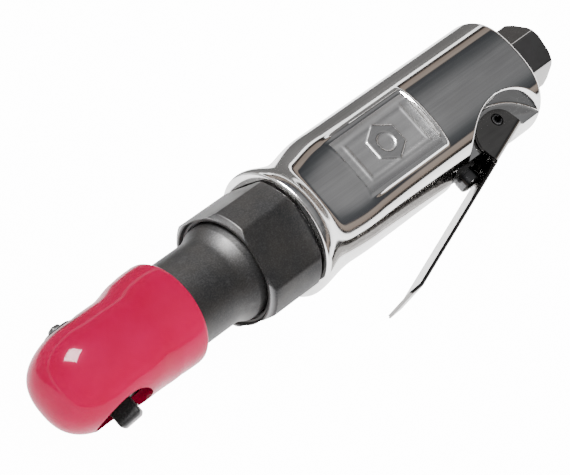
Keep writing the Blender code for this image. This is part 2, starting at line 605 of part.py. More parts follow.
def build_motor_housing():
    """Polished casting: motor bore, valve bore, inlet, name pocket, lever lug and scallops."""
    stations = [68.6, 70.4, 72, 74, 77, 81, 88, 124, 157.5, 159.4, 160.5]
    count = 40
    sections = []
    for x in [RIM_X] + [s * MM for s in stations]:
        radius_less = 0.6 * MM if x == RIM_X else 0.0
        ring = []
        for i in range(count):
            angle = 2 * math.pi * i / count
            radius = housing_radius(x, angle) - radius_less
            ring.append(Vector((x, -radius * math.sin(angle), radius * math.cos(angle))))
        sections.append(ring)
    body = place("motor_housing", loft(sections), ALUMINIUM)
    bore = [(67 * MM, 0), (67 * MM, 15.1 * MM), (74.2 * MM, 15.1 * MM), (74.2 * MM, MOTOR_BORE_R),
            (MOTOR_BORE_END, MOTOR_BORE_R), (MOTOR_BORE_END, 0)]
    boolean(body, turned(bore, X_AXIS, 32, ring=False))
    inlet = [(127 * MM, 0), (127 * MM, 3.2 * MM), (143 * MM, 3.2 * MM), (143 * MM, INLET_BORE_R),
             (162 * MM, INLET_BORE_R), (162 * MM, 0)]
    boolean(body, turned(inlet, X_AXIS, 20, ring=False))
    boolean(body, rod(Y_AXIS, -20 * MM, 5 * MM, VALVE_BORE_R, 20, centre=(VALVE_X, 0, 0)))
    boolean(body, rod(X_AXIS, 121 * MM, 127 * MM, 1.5 * MM, 12, centre=(0, -3.4 * MM, 0)))
    exhaust = [(121 * MM, 0), (121 * MM, 3.0 * MM), (157 * MM, 3.0 * MM), (157 * MM, 1.5 * MM),
               (162 * MM, 1.5 * MM), (162 * MM, 0)]
    boolean(body, turned(exhaust, X_AXIS, 12, centre=(0, 11.7 * MM, 0), ring=False))
    pocket = box((POCKET_X[0], POCKET_Y[0], POCKET_FLOOR), (POCKET_X[1], POCKET_Y[1], 20 * MM))
    boolean(body, pocket)
    for low, high in ((LUG_HALF_Z, 20 * MM), (-20 * MM, -LUG_HALF_Z)):
        boolean(body, rod(Z_AXIS, low, high, SCALLOP_R, 44, centre=SCALLOP_AT))
    boolean(body, box((122 * MM, -22 * MM, -8 * MM), (152 * MM, RELIEF_Y, 8 * MM)))
    heel = box((-3 * MM, -14 * MM, -8.3 * MM), (5.8 * MM, -LUG_REACH, 8.3 * MM))
    bmesh.ops.rotate(heel, verts=heel.verts, matrix=Matrix.Rotation(LEVER_ANGLE, 3, "Z"))
    bmesh.ops.translate(heel, verts=heel.verts, vec=HINGE)
    boolean(body, heel)
    boolean(body, rod(Z_AXIS, -8 * MM, 8 * MM, PIN_R + GAP, 14, centre=HINGE))


# ---------------------------------------------------------------- lever, valve and inlet
def lever_point(p, q):
    """Lever outline in its own terms: p along the web from the hinge, q away from the tool."""
    return (-p, -q)


def build_lever():
    """Steel channel: flat web, two rounded ears on the hinge pin, and a tip bent slightly in."""
    inner = LEVER_OUT - SHEET
    cut = math.asin((LEVER_OUT - EAR_CENTRE[1]) / EAR_ACROSS)
    front = math.asin((inner - EAR_CENTRE[1]) / EAR_ACROSS)
    steps = 20
    ear = []
    for i in range(steps + 1):
        angle = -math.pi - cut + (math.pi + cut + front) * i / steps
        ear.append(lever_point(EAR_CENTRE[0] + EAR_ALONG * math.cos(angle),
                               EAR_CENTRE[1] + EAR_ACROSS * math.sin(angle)))
    tip_in = math.radians(14)
    bend = (LEVER_LENGTH, LEVER_OUT)
    end = (LEVER_LENGTH + LEVER_TIP * math.cos(tip_in), LEVER_OUT - LEVER_TIP * math.sin(tip_in))
    web = [lever_point(LEVER_LENGTH, inner),
           lever_point(end[0] - SHEET * math.sin(tip_in), end[1] - SHEET * math.cos(tip_in)),
           lever_point(*end), lever_point(*bend)]
    bm = plate([ear + web], Z_AXIS, -LEVER_HALF_Z, LEVER_HALF_Z)
    bmesh.ops.rotate(bm, verts=bm.verts, matrix=Matrix.Rotation(LEVER_ANGLE, 3, "Z"))
    lever = place("throttle_lever", bm, BRIGHT_STEEL, HINGE)
    inside = LEVER_HALF_Z - SHEET
    hollow = [lever_point(-12 * MM, inner), lever_point(-12 * MM, -12 * MM),
              lever_point(20 * MM, -12 * MM), lever_point(20 * MM, inner)]
    cutter = plate([hollow], Z_AXIS, -inside, inside)
    bmesh.ops.rotate(cutter, verts=cutter.verts, matrix=Matrix.Rotation(LEVER_ANGLE, 3, "Z"))
    bmesh.ops.translate(cutter, verts=cutter.verts, vec=HINGE)
    boolean(lever, cutter)
    boolean(lever, rod(Z_AXIS, -9 * MM, 9 * MM, PIN_R + GAP, 14, centre=HINGE))
    slot, count = math.radians(24), 12
    angles = [slot + (2 * math.pi - 2 * slot) * i / count for i in range(count + 1)]
    ring = [(PIN_R * math.cos(a), PIN_R * math.sin(a)) for a in angles]
    ring += [(0.95 * MM * math.cos(a), 0.95 * MM * math.sin(a)) for a in reversed(angles)]
    place("lever_roll_pin", plate([ring], Z_AXIS, -7.7 * MM, 7.7 * MM), SPRING_STEEL, HINGE)


def build_valve():
    """Plunger in its bushing, the seal on the plunger's head, and the spring that closes it."""
    at = (VALVE_X, 0, 0)
    bushing = tube(Y_AXIS, -16.6 * MM, -6.0 * MM, PLUNGER_R + GAP, VALVE_BORE_R - GAP)
    place("plunger_bushing", bushing, BLACK_STEEL, at)
    profile = [(PLUNGER_END, 0), (PLUNGER_END, 1.2 * MM), (-20.6 * MM, 2.1 * MM), (-19.9 * MM, PLUNGER_R),
               (-8.0 * MM, PLUNGER_R), (-8.0 * MM, 1.5 * MM), (-4.4 * MM, 1.5 * MM),
               (-4.4 * MM, 4.1 * MM), (-3.0 * MM, 4.1 * MM), (-3.0 * MM, 0)]
    place("throttle_plunger", turned(profile, Y_AXIS, ring=False), BLACK_STEEL, at)
    place("plunger_seal", tube(Y_AXIS, -5.7 * MM, -4.7 * MM, 1.8 * MM, 4.0 * MM), RUBBER, at)
    place("valve_spring", coil(-2.3 * MM, 4.3 * MM, 3.2 * MM, 0.35 * MM, 4), SPRING_STEEL, at)


def build_inlet():
    """Hex bushing with a female pipe socket, its seal, the screen behind it, and the muffler."""
    corner = HEX_FLATS / 2 / math.cos(math.pi / 6)

    def section(x, limit, hexed=True, count=24):
        ring = []
        for i in range(count):
            angle = 2 * math.pi * i / count
            from_flat = (angle + math.pi / 6) % (math.pi / 3) - math.pi / 6
            radius = min(limit, HEX_FLATS / 2 / math.cos(from_flat)) if hexed else limit
            faced = angle + HEX_TURN
            ring.append(Vector((x, radius * math.cos(faced), radius * math.sin(faced))))
        return ring

    start, end = HEX_X
    sections = [section(144.5 * MM, 4.0 * MM, False), section(144.5 * MM, 7.3 * MM, False),
                section(160.8 * MM, 7.3 * MM, False), section(160.8 * MM, 8.3 * MM, False),
                section(start, 8.3 * MM, False), section(start, corner - 1.0 * MM),
                section(start + 0.8 * MM, corner), section(end - 0.9 * MM, corner),
                section(end, corner - 1.1 * MM), section(end, 6.4 * MM, False),
                section(end - 0.8 * MM, INLET_SOCKET_R, False), section(155 * MM, INLET_SOCKET_R, False),
                section(155 * MM, 4.0 * MM, False)]
    place("inlet_bushing", loft(sections, around=True), BLACK_CHROME)
    place("inlet_seal", tube(X_AXIS, 143.3 * MM, 144.2 * MM, 4.2 * MM, 7.2 * MM), RUBBER)
    screen = [(146.2 * MM, 0), (146.2 * MM, 3.6 * MM), (153.6 * MM, 3.6 * MM), (153.6 * MM, 3.1 * MM),
              (146.7 * MM, 3.1 * MM), (146.7 * MM, 0)]
    place("inlet_screen", turned(screen, X_AXIS, 16, ring=False), BRASS)
    place("exhaust_muffler", rod(X_AXIS, 127 * MM, 156.6 * MM, 2.7 * MM, 16), FELT, (0, 11.7 * MM, 0))


clear_scene()
PVC = material("boot_pvc", (0.75, 0.01, 0.07), 0.25, 0.0)
BLACK_STEEL = material("black_oxide_steel", (0.03, 0.03, 0.032), 0.45, 0.8)
BRIGHT_STEEL = material("bright_steel", (0.45, 0.44, 0.43), 0.3, 1.0)
GEAR_STEEL = material("gear_steel", (0.35, 0.35, 0.36), 0.35, 1.0)
SPRING_STEEL = material("spring_steel", (0.2, 0.2, 0.21), 0.3, 1.0)
CAST_IRON = material("cast_iron", (0.22, 0.22, 0.22), 0.5, 0.9)
ALUMINIUM = material("polished_aluminium", (0.8, 0.79, 0.78), 0.12, 1.0)
BLACK_CHROME = material("black_chrome", (0.08, 0.08, 0.085), 0.12, 1.0)
BRASS = material("brass", (0.6, 0.42, 0.15), 0.3, 1.0)
FIBRE = material("vane_fibre", (0.25, 0.13, 0.05), 0.6, 0.0)
RUBBER = material("seal_rubber", (0.02, 0.02, 0.02), 0.7, 0.0)
FELT = material("muffler_felt", (0.5, 0.48, 0.42), 0.95, 0.0)
HELPER = material("helper", (1.0, 0.4, 0.0), 0.5, 0.0)
TOOL = tool_frame()

build_boot()
build_ratchet_housing()
build_square_drive()
build_yoke()
build_pawl()
build_reverse_knob()
build_head_washers()
build_crankshaft()
build_gears()
build_end_plates()
build_motor()
build_clamp_nut()
build_motor_housing()
build_lever()
build_valve()
build_inlet()
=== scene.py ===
# %% [markdown]
# # An air ratchet, finished
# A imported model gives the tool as 54 working solids. This lesson keeps all of them in place,
# gives the hidden ones their finishes, and makes a fine skin for every piece that shows.
# Each skin is a surface worked out with numpy from a few sizes, because a formula gives the soft
# edges and shallow waists of a polished casting that a faceted solid can't.

# %% Load the frame
import json
import math

import bpy
import numpy as np
from mathutils import Matrix, Vector


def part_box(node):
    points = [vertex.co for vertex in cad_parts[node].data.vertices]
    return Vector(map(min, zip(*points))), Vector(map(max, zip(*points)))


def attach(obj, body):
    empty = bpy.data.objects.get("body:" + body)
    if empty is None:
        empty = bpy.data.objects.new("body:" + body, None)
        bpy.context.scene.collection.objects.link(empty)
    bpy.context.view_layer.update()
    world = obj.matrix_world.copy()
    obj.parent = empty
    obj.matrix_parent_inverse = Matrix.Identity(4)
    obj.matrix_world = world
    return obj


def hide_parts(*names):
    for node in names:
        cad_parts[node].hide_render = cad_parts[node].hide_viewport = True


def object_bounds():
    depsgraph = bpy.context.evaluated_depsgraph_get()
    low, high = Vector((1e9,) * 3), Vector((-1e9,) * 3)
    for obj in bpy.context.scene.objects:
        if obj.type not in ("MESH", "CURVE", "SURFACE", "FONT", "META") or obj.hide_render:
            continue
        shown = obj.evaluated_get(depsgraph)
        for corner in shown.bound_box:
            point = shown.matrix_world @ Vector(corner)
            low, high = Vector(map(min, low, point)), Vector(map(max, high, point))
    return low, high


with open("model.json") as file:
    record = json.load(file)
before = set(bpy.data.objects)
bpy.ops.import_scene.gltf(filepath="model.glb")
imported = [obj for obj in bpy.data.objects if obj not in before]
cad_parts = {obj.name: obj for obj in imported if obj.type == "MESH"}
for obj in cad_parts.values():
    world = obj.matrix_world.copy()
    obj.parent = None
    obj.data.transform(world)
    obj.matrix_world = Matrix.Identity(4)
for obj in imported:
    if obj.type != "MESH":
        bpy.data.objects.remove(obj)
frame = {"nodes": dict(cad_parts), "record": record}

cad_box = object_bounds()
MM = 0.001

# %% [markdown]
# ## Where the tool's own axis runs
# The frame's origin is the end of the square drive. The grip, the neck and the air inlet are all
# round about another line, so every outline below is drawn in millimetres about that line, and
# one helper moves it into the frame. The line's height comes from the inlet's own box.

# %% The tool's axis and the main stations along it
low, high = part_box("inlet_bushing")
AXIS_Y = (low.y + high.y) / 2 / MM
REACH = AXIS_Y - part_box("square_drive")[0].y / MM
RIM_X, HOUSING_END = (corner.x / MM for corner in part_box("motor_housing"))
NUT_FRONT, NUT_END = (corner.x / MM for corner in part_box("clamp_nut"))
HEX_END = high.x / MM
HINGE = Vector((145.0, -11.3, 0.0))
print(f"axis {AXIS_Y:.1f} mm above the square's end, housing {RIM_X:.1f} to {HOUSING_END:.1f} mm")

# %% [markdown]
# ## From a grid of points to a closed mesh
# A tube-like skin is a grid: rows along the piece, columns round it. Neighbouring rows make quads,
# the columns wrap, and the two end rows are closed by a face, or joined to each other for a ring.
# The sign of the enclosed volume tells whether the faces look outwards, so no piece is inside out.

# %% Grid helpers
def smoothstep(low, high, value):
    """0 below low, 1 above high, and 3t^2 - 2t^3 in between."""
    t = np.clip((value - low) / (high - low), 0, 1)
    return t * t * (3 - 2 * t)


def soft_min(a, b, blend):
    """The lower of two surfaces, with a fillet about blend wide where they cross."""
    share = np.clip(0.5 + 0.5 * (b - a) / blend, 0, 1)
    return b * (1 - share) + a * share - blend * share * (1 - share)


def soft_max(a, b, blend):
    """The higher of two surfaces, with a fillet where they cross."""
    return -soft_min(-a, -b, blend)


def skin(name, points, joined=False):
    """Closed mesh from rows of points in millimetres about the tool's axis."""
    rows, columns, _ = points.shape
    index = np.arange(rows * columns).reshape(rows, columns)
    here = index if joined else index[:-1]
    there = np.roll(index, -1, 0) if joined else index[1:]
    quads = np.stack([here, np.roll(here, -1, 1), np.roll(there, -1, 1), there], -1).reshape(-1, 4)
    flat = points.reshape(-1, 3)
    one, two, three, four = (flat[quads[:, i]] for i in range(4))
    volume = np.sum(one * np.cross(two, three)) + np.sum(one * np.cross(three, four))
    faces = quads.tolist()
    if not joined:
        for end, ring in ((flat[index[0]], index[0][::-1]), (flat[index[-1]], index[-1])):
            faces.append(ring.tolist())
            around = flat[ring]
            volume += np.sum(around[0] * np.cross(around[1:-1], around[2:]))
    if volume < 0:
        faces = [face[::-1] for face in faces]
    mesh = bpy.data.meshes.new(name)
    mesh.from_pydata(((flat + (0, AXIS_Y, 0)) * MM).tolist(), [], faces)
    made = bpy.data.objects.new(name, mesh)
    bpy.context.collection.objects.link(made)
    return made


def settle(piece, sharp=35):
    """Apply a piece's modifiers and shade it smooth between sharp edges."""
    graph = bpy.context.evaluated_depsgraph_get()
    mesh = bpy.data.meshes.new_from_object(piece.evaluated_get(graph))
    piece.modifiers.clear()
    piece.data = mesh
    mesh.shade_smooth()
    mesh.set_sharp_from_angle(angle=math.radians(sharp))
    print(f"{piece.name}: {sum(len(face.vertices) - 2 for face in mesh.polygons)} triangles")
    return piece


def cut(piece, cutters, operation="DIFFERENCE"):
    """Boolean each cutter with a piece and throw the cutters away."""
    for cutter in cutters:
        modifier = piece.modifiers.new("cut", "BOOLEAN")
        modifier.operation = operation
        modifier.solver = "EXACT"
        modifier.object = cutter
    bpy.context.view_layer.update()
    settle(piece)
    for cutter in cutters:
        bpy.data.objects.remove(cutter, do_unlink=True)


# %% [markdown]
# ## Turned pieces
# Anything that came off a lathe is one outline carried round a line. The outline is a list of
# corners; a corner can be given a small radius, because a real turned edge is never quite sharp
# and it is the tiny rounded edge that catches the light.

# %% Turned, extruded and boxed pieces
def rounded(corners, radius, steps=4, closed=False):
    """Replace the corners of an outline by arcs of a radius, each a quadratic curve."""
    corners = np.asarray(corners, float)
    before, after = np.roll(corners, 1, 0), np.roll(corners, -1, 0)
    out = []
    for i, corner in enumerate(corners):
        if not closed and i in (0, len(corners) - 1):
            out.append(corner[None])
            continue
        back, on = before[i] - corner, after[i] - corner
        reach = min(radius, 0.45 * np.linalg.norm(back), 0.45 * np.linalg.norm(on))
        start = corner + back / np.linalg.norm(back) * reach
        stop = corner + on / np.linalg.norm(on) * reach
        t = np.linspace(0, 1, steps)[:, None]
        out.append((1 - t) ** 2 * start + 2 * t * (1 - t) * corner + t ** 2 * stop)
    return np.concatenate(out)


def turned(name, outline, axis="X", at=(0, 0, 0), edge=0.15, count=96, ring=False):
    """Carry an outline of (along, radius) points round an axis through a place."""
    outline = rounded(outline, edge, closed=ring)
    along, radius = outline[:, :1], np.maximum(outline[:, 1:], 0.001)
    angle = np.linspace(0, 2 * np.pi, count, endpoint=False)[None]
    u, v = radius * np.cos(angle), radius * np.sin(angle)
    along = along + 0 * u
    order = {"X": (along, u, v), "Y": (u, along, v), "Z": (u, v, along)}[axis]
    return skin(name, np.stack(order, -1) + np.asarray(at), joined=ring)


def rod(name, axis, start, end, radius, at=(0, 0, 0), edge=0.0, count=64):
    """A plain round bar, used for holes and pins."""
    outline = [(start, 0), (start, radius), (end, radius), (end, 0)]
    return turned(name, outline, axis, at, max(edge, 0.001), count)


def block(name, low, high):
    """A box between two corners, as two rows of four points."""
    (x0, y0, z0), (x1, y1, z1) = low, high
    ring = [(y0, z0), (y1, z0), (y1, z1), (y0, z1)]
    return skin(name, np.array([[(x, y, z) for y, z in ring] for x in (x0, x1)], float))


def finish(piece, body, slot, *nodes):
    """A finished piece rides on its body, takes a slot's finish and stands for its solids."""
    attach(piece, body)
    if nodes:
        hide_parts(*nodes)
    piece.data.materials.clear()
    piece.data.materials.append(FINISHES[slot])


print("grid helpers ready")

# %% [markdown]
# ## Shader maths as expressions
# A material's pattern is arithmetic on the place of a point. Wrapping a socket in a small class
# lets that arithmetic be written as `1 - mask * 0.4`, and each sign adds one Math node. Any other
# node comes from one method that sets it up before it links it.

# %% A socket that can be added, multiplied and compared
class Wire:
    """A number that varies over a surface: an output socket and the tree it belongs to."""

    def __init__(self, tree, socket):
        self.tree = tree
        self.socket = socket

    def math(self, operation, one, two=0.0, clamp=False):
        made = self.tree.nodes.new("ShaderNodeMath")
        made.operation = operation
        made.use_clamp = clamp
        for slot, value in zip(made.inputs, (one, two)):
            if isinstance(value, Wire):
                self.tree.links.new(value.socket, slot)
            else:
                slot.default_value = value
        return Wire(self.tree, made.outputs[0])

    def __add__(self, other):
        return self.math("ADD", self, other)

    def __radd__(self, other):
        return self.math("ADD", other, self)

    def __sub__(self, other):
        return self.math("SUBTRACT", self, other)

    def __rsub__(self, other):
        return self.math("SUBTRACT", other, self)

    def __mul__(self, other):
        return self.math("MULTIPLY", self, other)

    def __rmul__(self, other):
        return self.math("MULTIPLY", other, self)

    def __truediv__(self, other):
        return self.math("DIVIDE", self, other)

    def __pow__(self, other):
        return self.math("POWER", self, other)

    def step(self, low, high):
        """0 below low and 1 above high."""
        return self.math("ADD", (self - low) / (high - low), 0.0, clamp=True)

    def sine(self):
        return self.math("SINE", self)


class Finish:
    """A Principled material and the wires that vary it."""

    def __init__(self, name, constants=None):
        self.material = bpy.data.materials.new(name)
        self.material.use_nodes = True
        self.tree = self.material.node_tree
        self.shader = self.tree.nodes["Principled BSDF"]
        for socket, value in (constants or {}).items():
            self.shader.inputs[socket].default_value = value
        place = self.node("ShaderNodeTexCoord")
        self.place = place.outputs["Object"]
        split = self.node("ShaderNodeSeparateXYZ", Vector=self.place)
        x, y, z = (Wire(self.tree, out) for out in split.outputs)
        self.x = x * 1000
        self.y = y * 1000 - AXIS_Y
        self.z = z * 1000

    def node(self, kind, setting=None, **sockets):
        """Any node: its settings first, then values or links for its sockets."""
        made = self.tree.nodes.new(kind)
        for key, value in (setting or {}).items():
            setattr(made, key, value)
        for key, value in sockets.items():
            slot = made.inputs[key.replace("_", " ")]
            if isinstance(value, Wire):
                value = value.socket
            if isinstance(value, bpy.types.NodeSocket):
                self.tree.links.new(value, slot)
            else:
                slot.default_value = value
        return made

    def noise(self, scale, stretch=(1, 1, 1), detail=3.0, rough=0.55):
        """Noise on the object's own coordinates; scale is in cycles per metre."""
        spread = self.node("ShaderNodeMapping", Vector=self.place, Scale=stretch)
        made = self.node("ShaderNodeTexNoise", Vector=spread.outputs[0], Scale=float(scale),
                         Detail=detail, Roughness=rough)
        return Wire(self.tree, made.outputs["Fac"])

    def radius(self):
        """Distance from the tool's own axis, in millimetres."""
        return (self.y * self.y + self.z * self.z) ** 0.5

    def mixed(self, share, first, second):
        """Mix two colours that are sockets or plain triples."""
        made = self.node("ShaderNodeMix", {"data_type": "RGBA"})
        self.tree.links.new(share.socket, made.inputs["Factor"])
        for slot, value in ((made.inputs[6], first), (made.inputs[7], second)):
            if isinstance(value, bpy.types.NodeSocket):
                self.tree.links.new(value, slot)
            else:
                slot.default_value = (*value, 1)
        return made.outputs[2]

    def set(self, colour=None, roughness=None, metallic=None, coat=None):
        for name, value in (("Base Color", colour), ("Roughness", roughness),
                            ("Metallic", metallic), ("Coat Weight", coat)):
            if value is not None:
                socket = value.socket if isinstance(value, Wire) else value
                self.tree.links.new(socket, self.shader.inputs[name])

    def bump(self, height, depth_mm, strength=1.0):
        """Raise the surface by a height from 0 to 1, over a real depth."""
        made = self.node("ShaderNodeBump", Strength=strength, Distance=depth_mm * MM, Height=height)
        self.tree.links.new(made.outputs["Normal"], self.shader.inputs["Normal"])


FINISHES = {}
print("shader helpers ready")

# %% [markdown]
# ## Dipped PVC
# The boot is soft PVC, dipped and cured, so its skin is almost a lacquer: deep colour, a sharp
# highlight, and a faint unevenness where the liquid ran. A clear coat over a saturated base gives
# the sharp highlight, a little scattering lightens thin lips, and slow noise makes the runs.

# %% The boot's finish
def boot_pvc():
    look = Finish("boot_pvc", {"Coat Weight": 0.22, "Coat Roughness": 0.03, "Specular IOR Level": 0.05,
                               "Coat Tint": (1, 0.62, 0.74, 1), "Specular Tint": (1, 0.3, 0.45, 1),
                               "Subsurface Weight": 0.06, "Subsurface Scale": 0.002,
                               "Subsurface Radius": (1.0, 0.1, 0.2)})
    runs = look.noise(90, (1, 1, 1), 2.0)
    grain = look.noise(1400, (1, 1, 1), 2.0)
    shade = look.mixed(runs.step(0.3, 0.75), (0.90, 0.0, 0.10), (0.98, 0.0, 0.13))
    # Within 8.6 mm of the square's axis, on the walls of the punched holes and on the boot round the knob's
    # hole, the red is mixed toward dark red: this is painted shade in the holes.
    wall = 1 - ((look.x * look.x + look.z * look.z) ** 0.5).step(8.5, 8.6)
    look.set(look.mixed(wall * 0.75, shade, (0.30, 0.0, 0.02)), 0.16 + runs * 0.1 + grain * 0.03)
    look.bump(runs * 0.9 + grain * 0.1, 0.12, 0.35)
    return look.material


FINISHES["boot_pvc"] = boot_pvc()
print("boot finish ready")

# %% [markdown]
# ## Black oxide over ground steel
# The neck, the nut and the square are blacked in a hot salt bath. The film is thin, so the fine
# grinding grain shows through it, corners rub back to grey, and it dries with brown blotches.
# Grain and blotches are noises of two sizes; rubbed corners are found from a point's place.

# %% Black steel, with rubbed corners on the nut
def black_steel(name, worn, tone=1.0):
    """Blackened steel. worn takes the finish and returns where its corners are rubbed; tone scales how dark
    the film is, and the square's half tone is painted shade."""
    look = Finish(name)
    grain = look.noise(2600, (1, 1, 1), 4.0, 0.7)
    blotch = look.noise(120, (1, 1, 1), 3.0)
    rubbed = worn(look)
    dark, brown = tone * np.array([(0.026, 0.026, 0.027), (0.052, 0.048, 0.044)])
    base = look.mixed(blotch.step(0.35, 0.72), dark, brown)
    speckled = look.mixed(grain.step(0.45, 0.8) * 0.6, base, (0.12, 0.12, 0.122))
    look.set(look.mixed(rubbed, speckled, (0.23, 0.23, 0.235)),
             0.46 + grain * 0.16 - rubbed * 0.28 - blotch * 0.14, 0.55 + rubbed * 0.4)
    look.bump(grain, 0.02, 0.5)
    return look.material


def nut_corners(look):
    """The chamfer at the nut's front edge is brighter."""
    front = 1 - look.x.step(NUT_FRONT + 0.05, NUT_FRONT + 0.9)
    outside = look.radius().step(15.7, 16.1)
    return front * outside * 0.85


def plain_wear(look):
    """Light rubbing in slow patches."""
    return look.noise(260, (1, 1, 1), 2.0).step(0.62, 0.85) * 0.22


def square_wear(look):
    """A socket rubs the square's end and its arrises."""
    end = 1 - (look.y + REACH).step(0.1, 1.1)
    return end * 0.32 + look.noise(500, (1, 1, 1), 2.0).step(0.55, 0.9) * 0.2


FINISHES["black_oxide_steel"] = black_steel("black_oxide_steel", plain_wear)
FINISHES["nut_black"] = black_steel("nut_black", nut_corners)
# The square takes the same black oxide at half tone: painted shade that darkens its flange disc, which
# catches a bright glancing reflection.
FINISHES["square_black_painted_shade"] = black_steel("square_black_painted_shade", square_wear, 0.5)
print("black steels ready")

# %% [markdown]
# ## Polished aluminium
# The housing is a casting that was ground on a belt and then buffed. Buffing leaves a mirror with
# hair-fine lines along the tool, so the roughness is a noise stretched out along X. The pocket is
# below the reach of the wheel and keeps its satin cast skin.

# %% The housing's finish
POCKET_X = (89.8, 119.6)
POCKET_Y = (-8.5, 9.2)
POCKET_FLOOR = 14.95


def polished_aluminium():
    look = Finish("polished_aluminium", {"Metallic": 1.0})
    lines = look.noise(900, (0.02, 1, 1), 4.0, 0.6)
    haze = look.noise(60, (0.5, 1, 1), 3.0)
    pits = look.noise(1500, (1, 1, 1), 3.0, 0.7)
    (front, rear), (near, far) = POCKET_X, POCKET_Y
    within = (look.x.step(front, front + 0.5) * (1 - look.x.step(rear - 0.4, rear))
              * look.y.step(near, near + 0.4) * (1 - look.y.step(far - 0.4, far))
              * look.z.step(14.0, 14.2) * (1 - look.z.step(15.12, 15.3)))
    top = look.z.step(14.6, 15.6)
    shade = look.mixed((haze * 0.6 + lines * 0.4).step(0.35, 0.65), (0.68, 0.675, 0.67), (0.92, 0.915, 0.91))
    buffed = 0.045 + lines.step(0.45, 0.8) * 0.06 + haze.step(0.4, 0.8) * 0.06
    look.set(look.mixed(within * 0.7, shade, (0.52, 0.52, 0.525)), buffed + top * 0.1 + within * 0.24)
    look.bump(lines * (1 - within) + pits * (0.25 + within * 2.0), 0.012, 0.35)
    return look.material


FINISHES["polished_aluminium"] = polished_aluminium()
print("aluminium ready")

# %% [markdown]
# ## The other metals
# Ground, drawn, plated and cast metals differ in three things: their colour, how rough they are,
# and which way their marks run. One function takes those three, so a spring, a gear and a plated
# lever are each one line, and they still don't look like the same bar.

# %% One function for the remaining metals
def metal(name, dark, light, roughness, scale, stretch=(1, 1, 1), depth=0.015, spread=0.12):
    """Metal with marks at a scale (per metre), stretched the way the tool cut it."""
    look = Finish(name, {"Metallic": 1.0})
    marks = look.noise(scale, stretch, 4.0, 0.65)
    slow = look.noise(140, (1, 1, 1), 2.0)
    look.set(look.mixed((marks * 0.6 + slow * 0.5).step(0.3, 0.8), dark, light),
             roughness + (marks - 0.5) * spread + (slow - 0.5) * spread)
    look.bump(marks, depth, 0.4)
    return look.material


METALS = {   # dark and light tones, roughness, marks per metre, then what differs from plain
    "bright_steel": ((0.36, 0.35, 0.34), (0.55, 0.54, 0.53), 0.26, 900, (1, 6, 6)),
    "lever_steel": ((0.20, 0.195, 0.19), (0.30, 0.29, 0.28), 0.13, 700, (0.1, 1, 1), 0.006, 0.08),
    "gear_steel": ((0.28, 0.28, 0.29), (0.46, 0.46, 0.47), 0.3, 1600, (0.2, 1, 1)),
    "spring_steel": ((0.08, 0.08, 0.085), (0.2, 0.2, 0.205), 0.28, 1200),
    "cast_iron": ((0.14, 0.14, 0.14), (0.3, 0.29, 0.28), 0.5, 2200, (1, 1, 1), 0.03),
    "black_chrome": ((0.25, 0.24, 0.235), (0.34, 0.33, 0.325), 0.09, 500, (1, 1, 1), 0.004, 0.05),
    "plunger_black": ((0.07, 0.07, 0.072), (0.14, 0.14, 0.142), 0.16, 900, (1, 6, 1), 0.008, 0.06),
    "brass": ((0.48, 0.33, 0.11), (0.68, 0.5, 0.2), 0.28, 1100),
}
for metal_name, values in METALS.items():
    FINISHES[metal_name] = metal(metal_name, *values)
print("metals ready")

# %% [markdown]
# ## Fibre, rubber and felt
# The vanes are cloth pressed in resin, the seals are plain rubber and the muffler is a felt roll.
# None of them shines: they differ in weave, bloom and fuzz, which is all in colour and bump.

# %% The soft and fibrous finishes
def dull(name, dark, light, roughness, scale, stretch=(1, 1, 1), depth=0.05):
    """A non-metal with a visible texture of its own."""
    look = Finish(name)
    fibres = look.noise(scale, stretch, 5.0, 0.7)
    bloom = look.noise(200, (1, 1, 1), 2.0)
    shade = look.mixed((fibres * 0.7 + bloom * 0.4).step(0.3, 0.8), dark, light)
    look.set(shade, roughness + (bloom - 0.5) * 0.12)
    look.bump(fibres, depth, 0.7)
    return look.material


FINISHES["vane_fibre"] = dull("vane_fibre", (0.10, 0.05, 0.02), (0.26, 0.14, 0.06), 0.6, 1800, (0.3, 1, 1))
FINISHES["seal_rubber"] = dull("seal_rubber", (0.008, 0.008, 0.008), (0.03, 0.03, 0.03), 0.65, 1500)
FINISHES["muffler_felt"] = dull("muffler_felt", (0.36, 0.34, 0.3), (0.62, 0.6, 0.54), 0.95, 1400,
                                (0.4, 1, 1), 0.2)

for subpart in frame["record"]["subparts"]:
    mesh = frame["nodes"][subpart["node"]].data
    mesh.materials.clear()
    mesh.materials.append(FINISHES[subpart["material_slot"]])

# %% [markdown]
# ## The housing's outer surface
# The grip is one casting: a round rim, a waist for the fingers, a barrel with two broad faces, a
# sunk pocket, a lug for the lever and two scoops beside it. Seen from the tool's axis each of
# these is met exactly once by every ray, so the whole outside is a radius that depends on the
# place along the tool and the angle round it. Cuts are the lower of two radii, taken softly.

# %% Radius of the housing
RIM_R = 18.5
GRIP_R = 17.5
LUG_HALF_Z = 6.1
SCOOP_R = 17.9
SCOOP_AT = (143.7, 24.5)        # along the tool, and out from the axis toward the lever
RELIEF = 16.0
REAR_ROUND = 1.3
WALL_SLOPE = 4.0                # how steeply the pocket's walls rise
LEVER_TILT = math.radians(16.5)


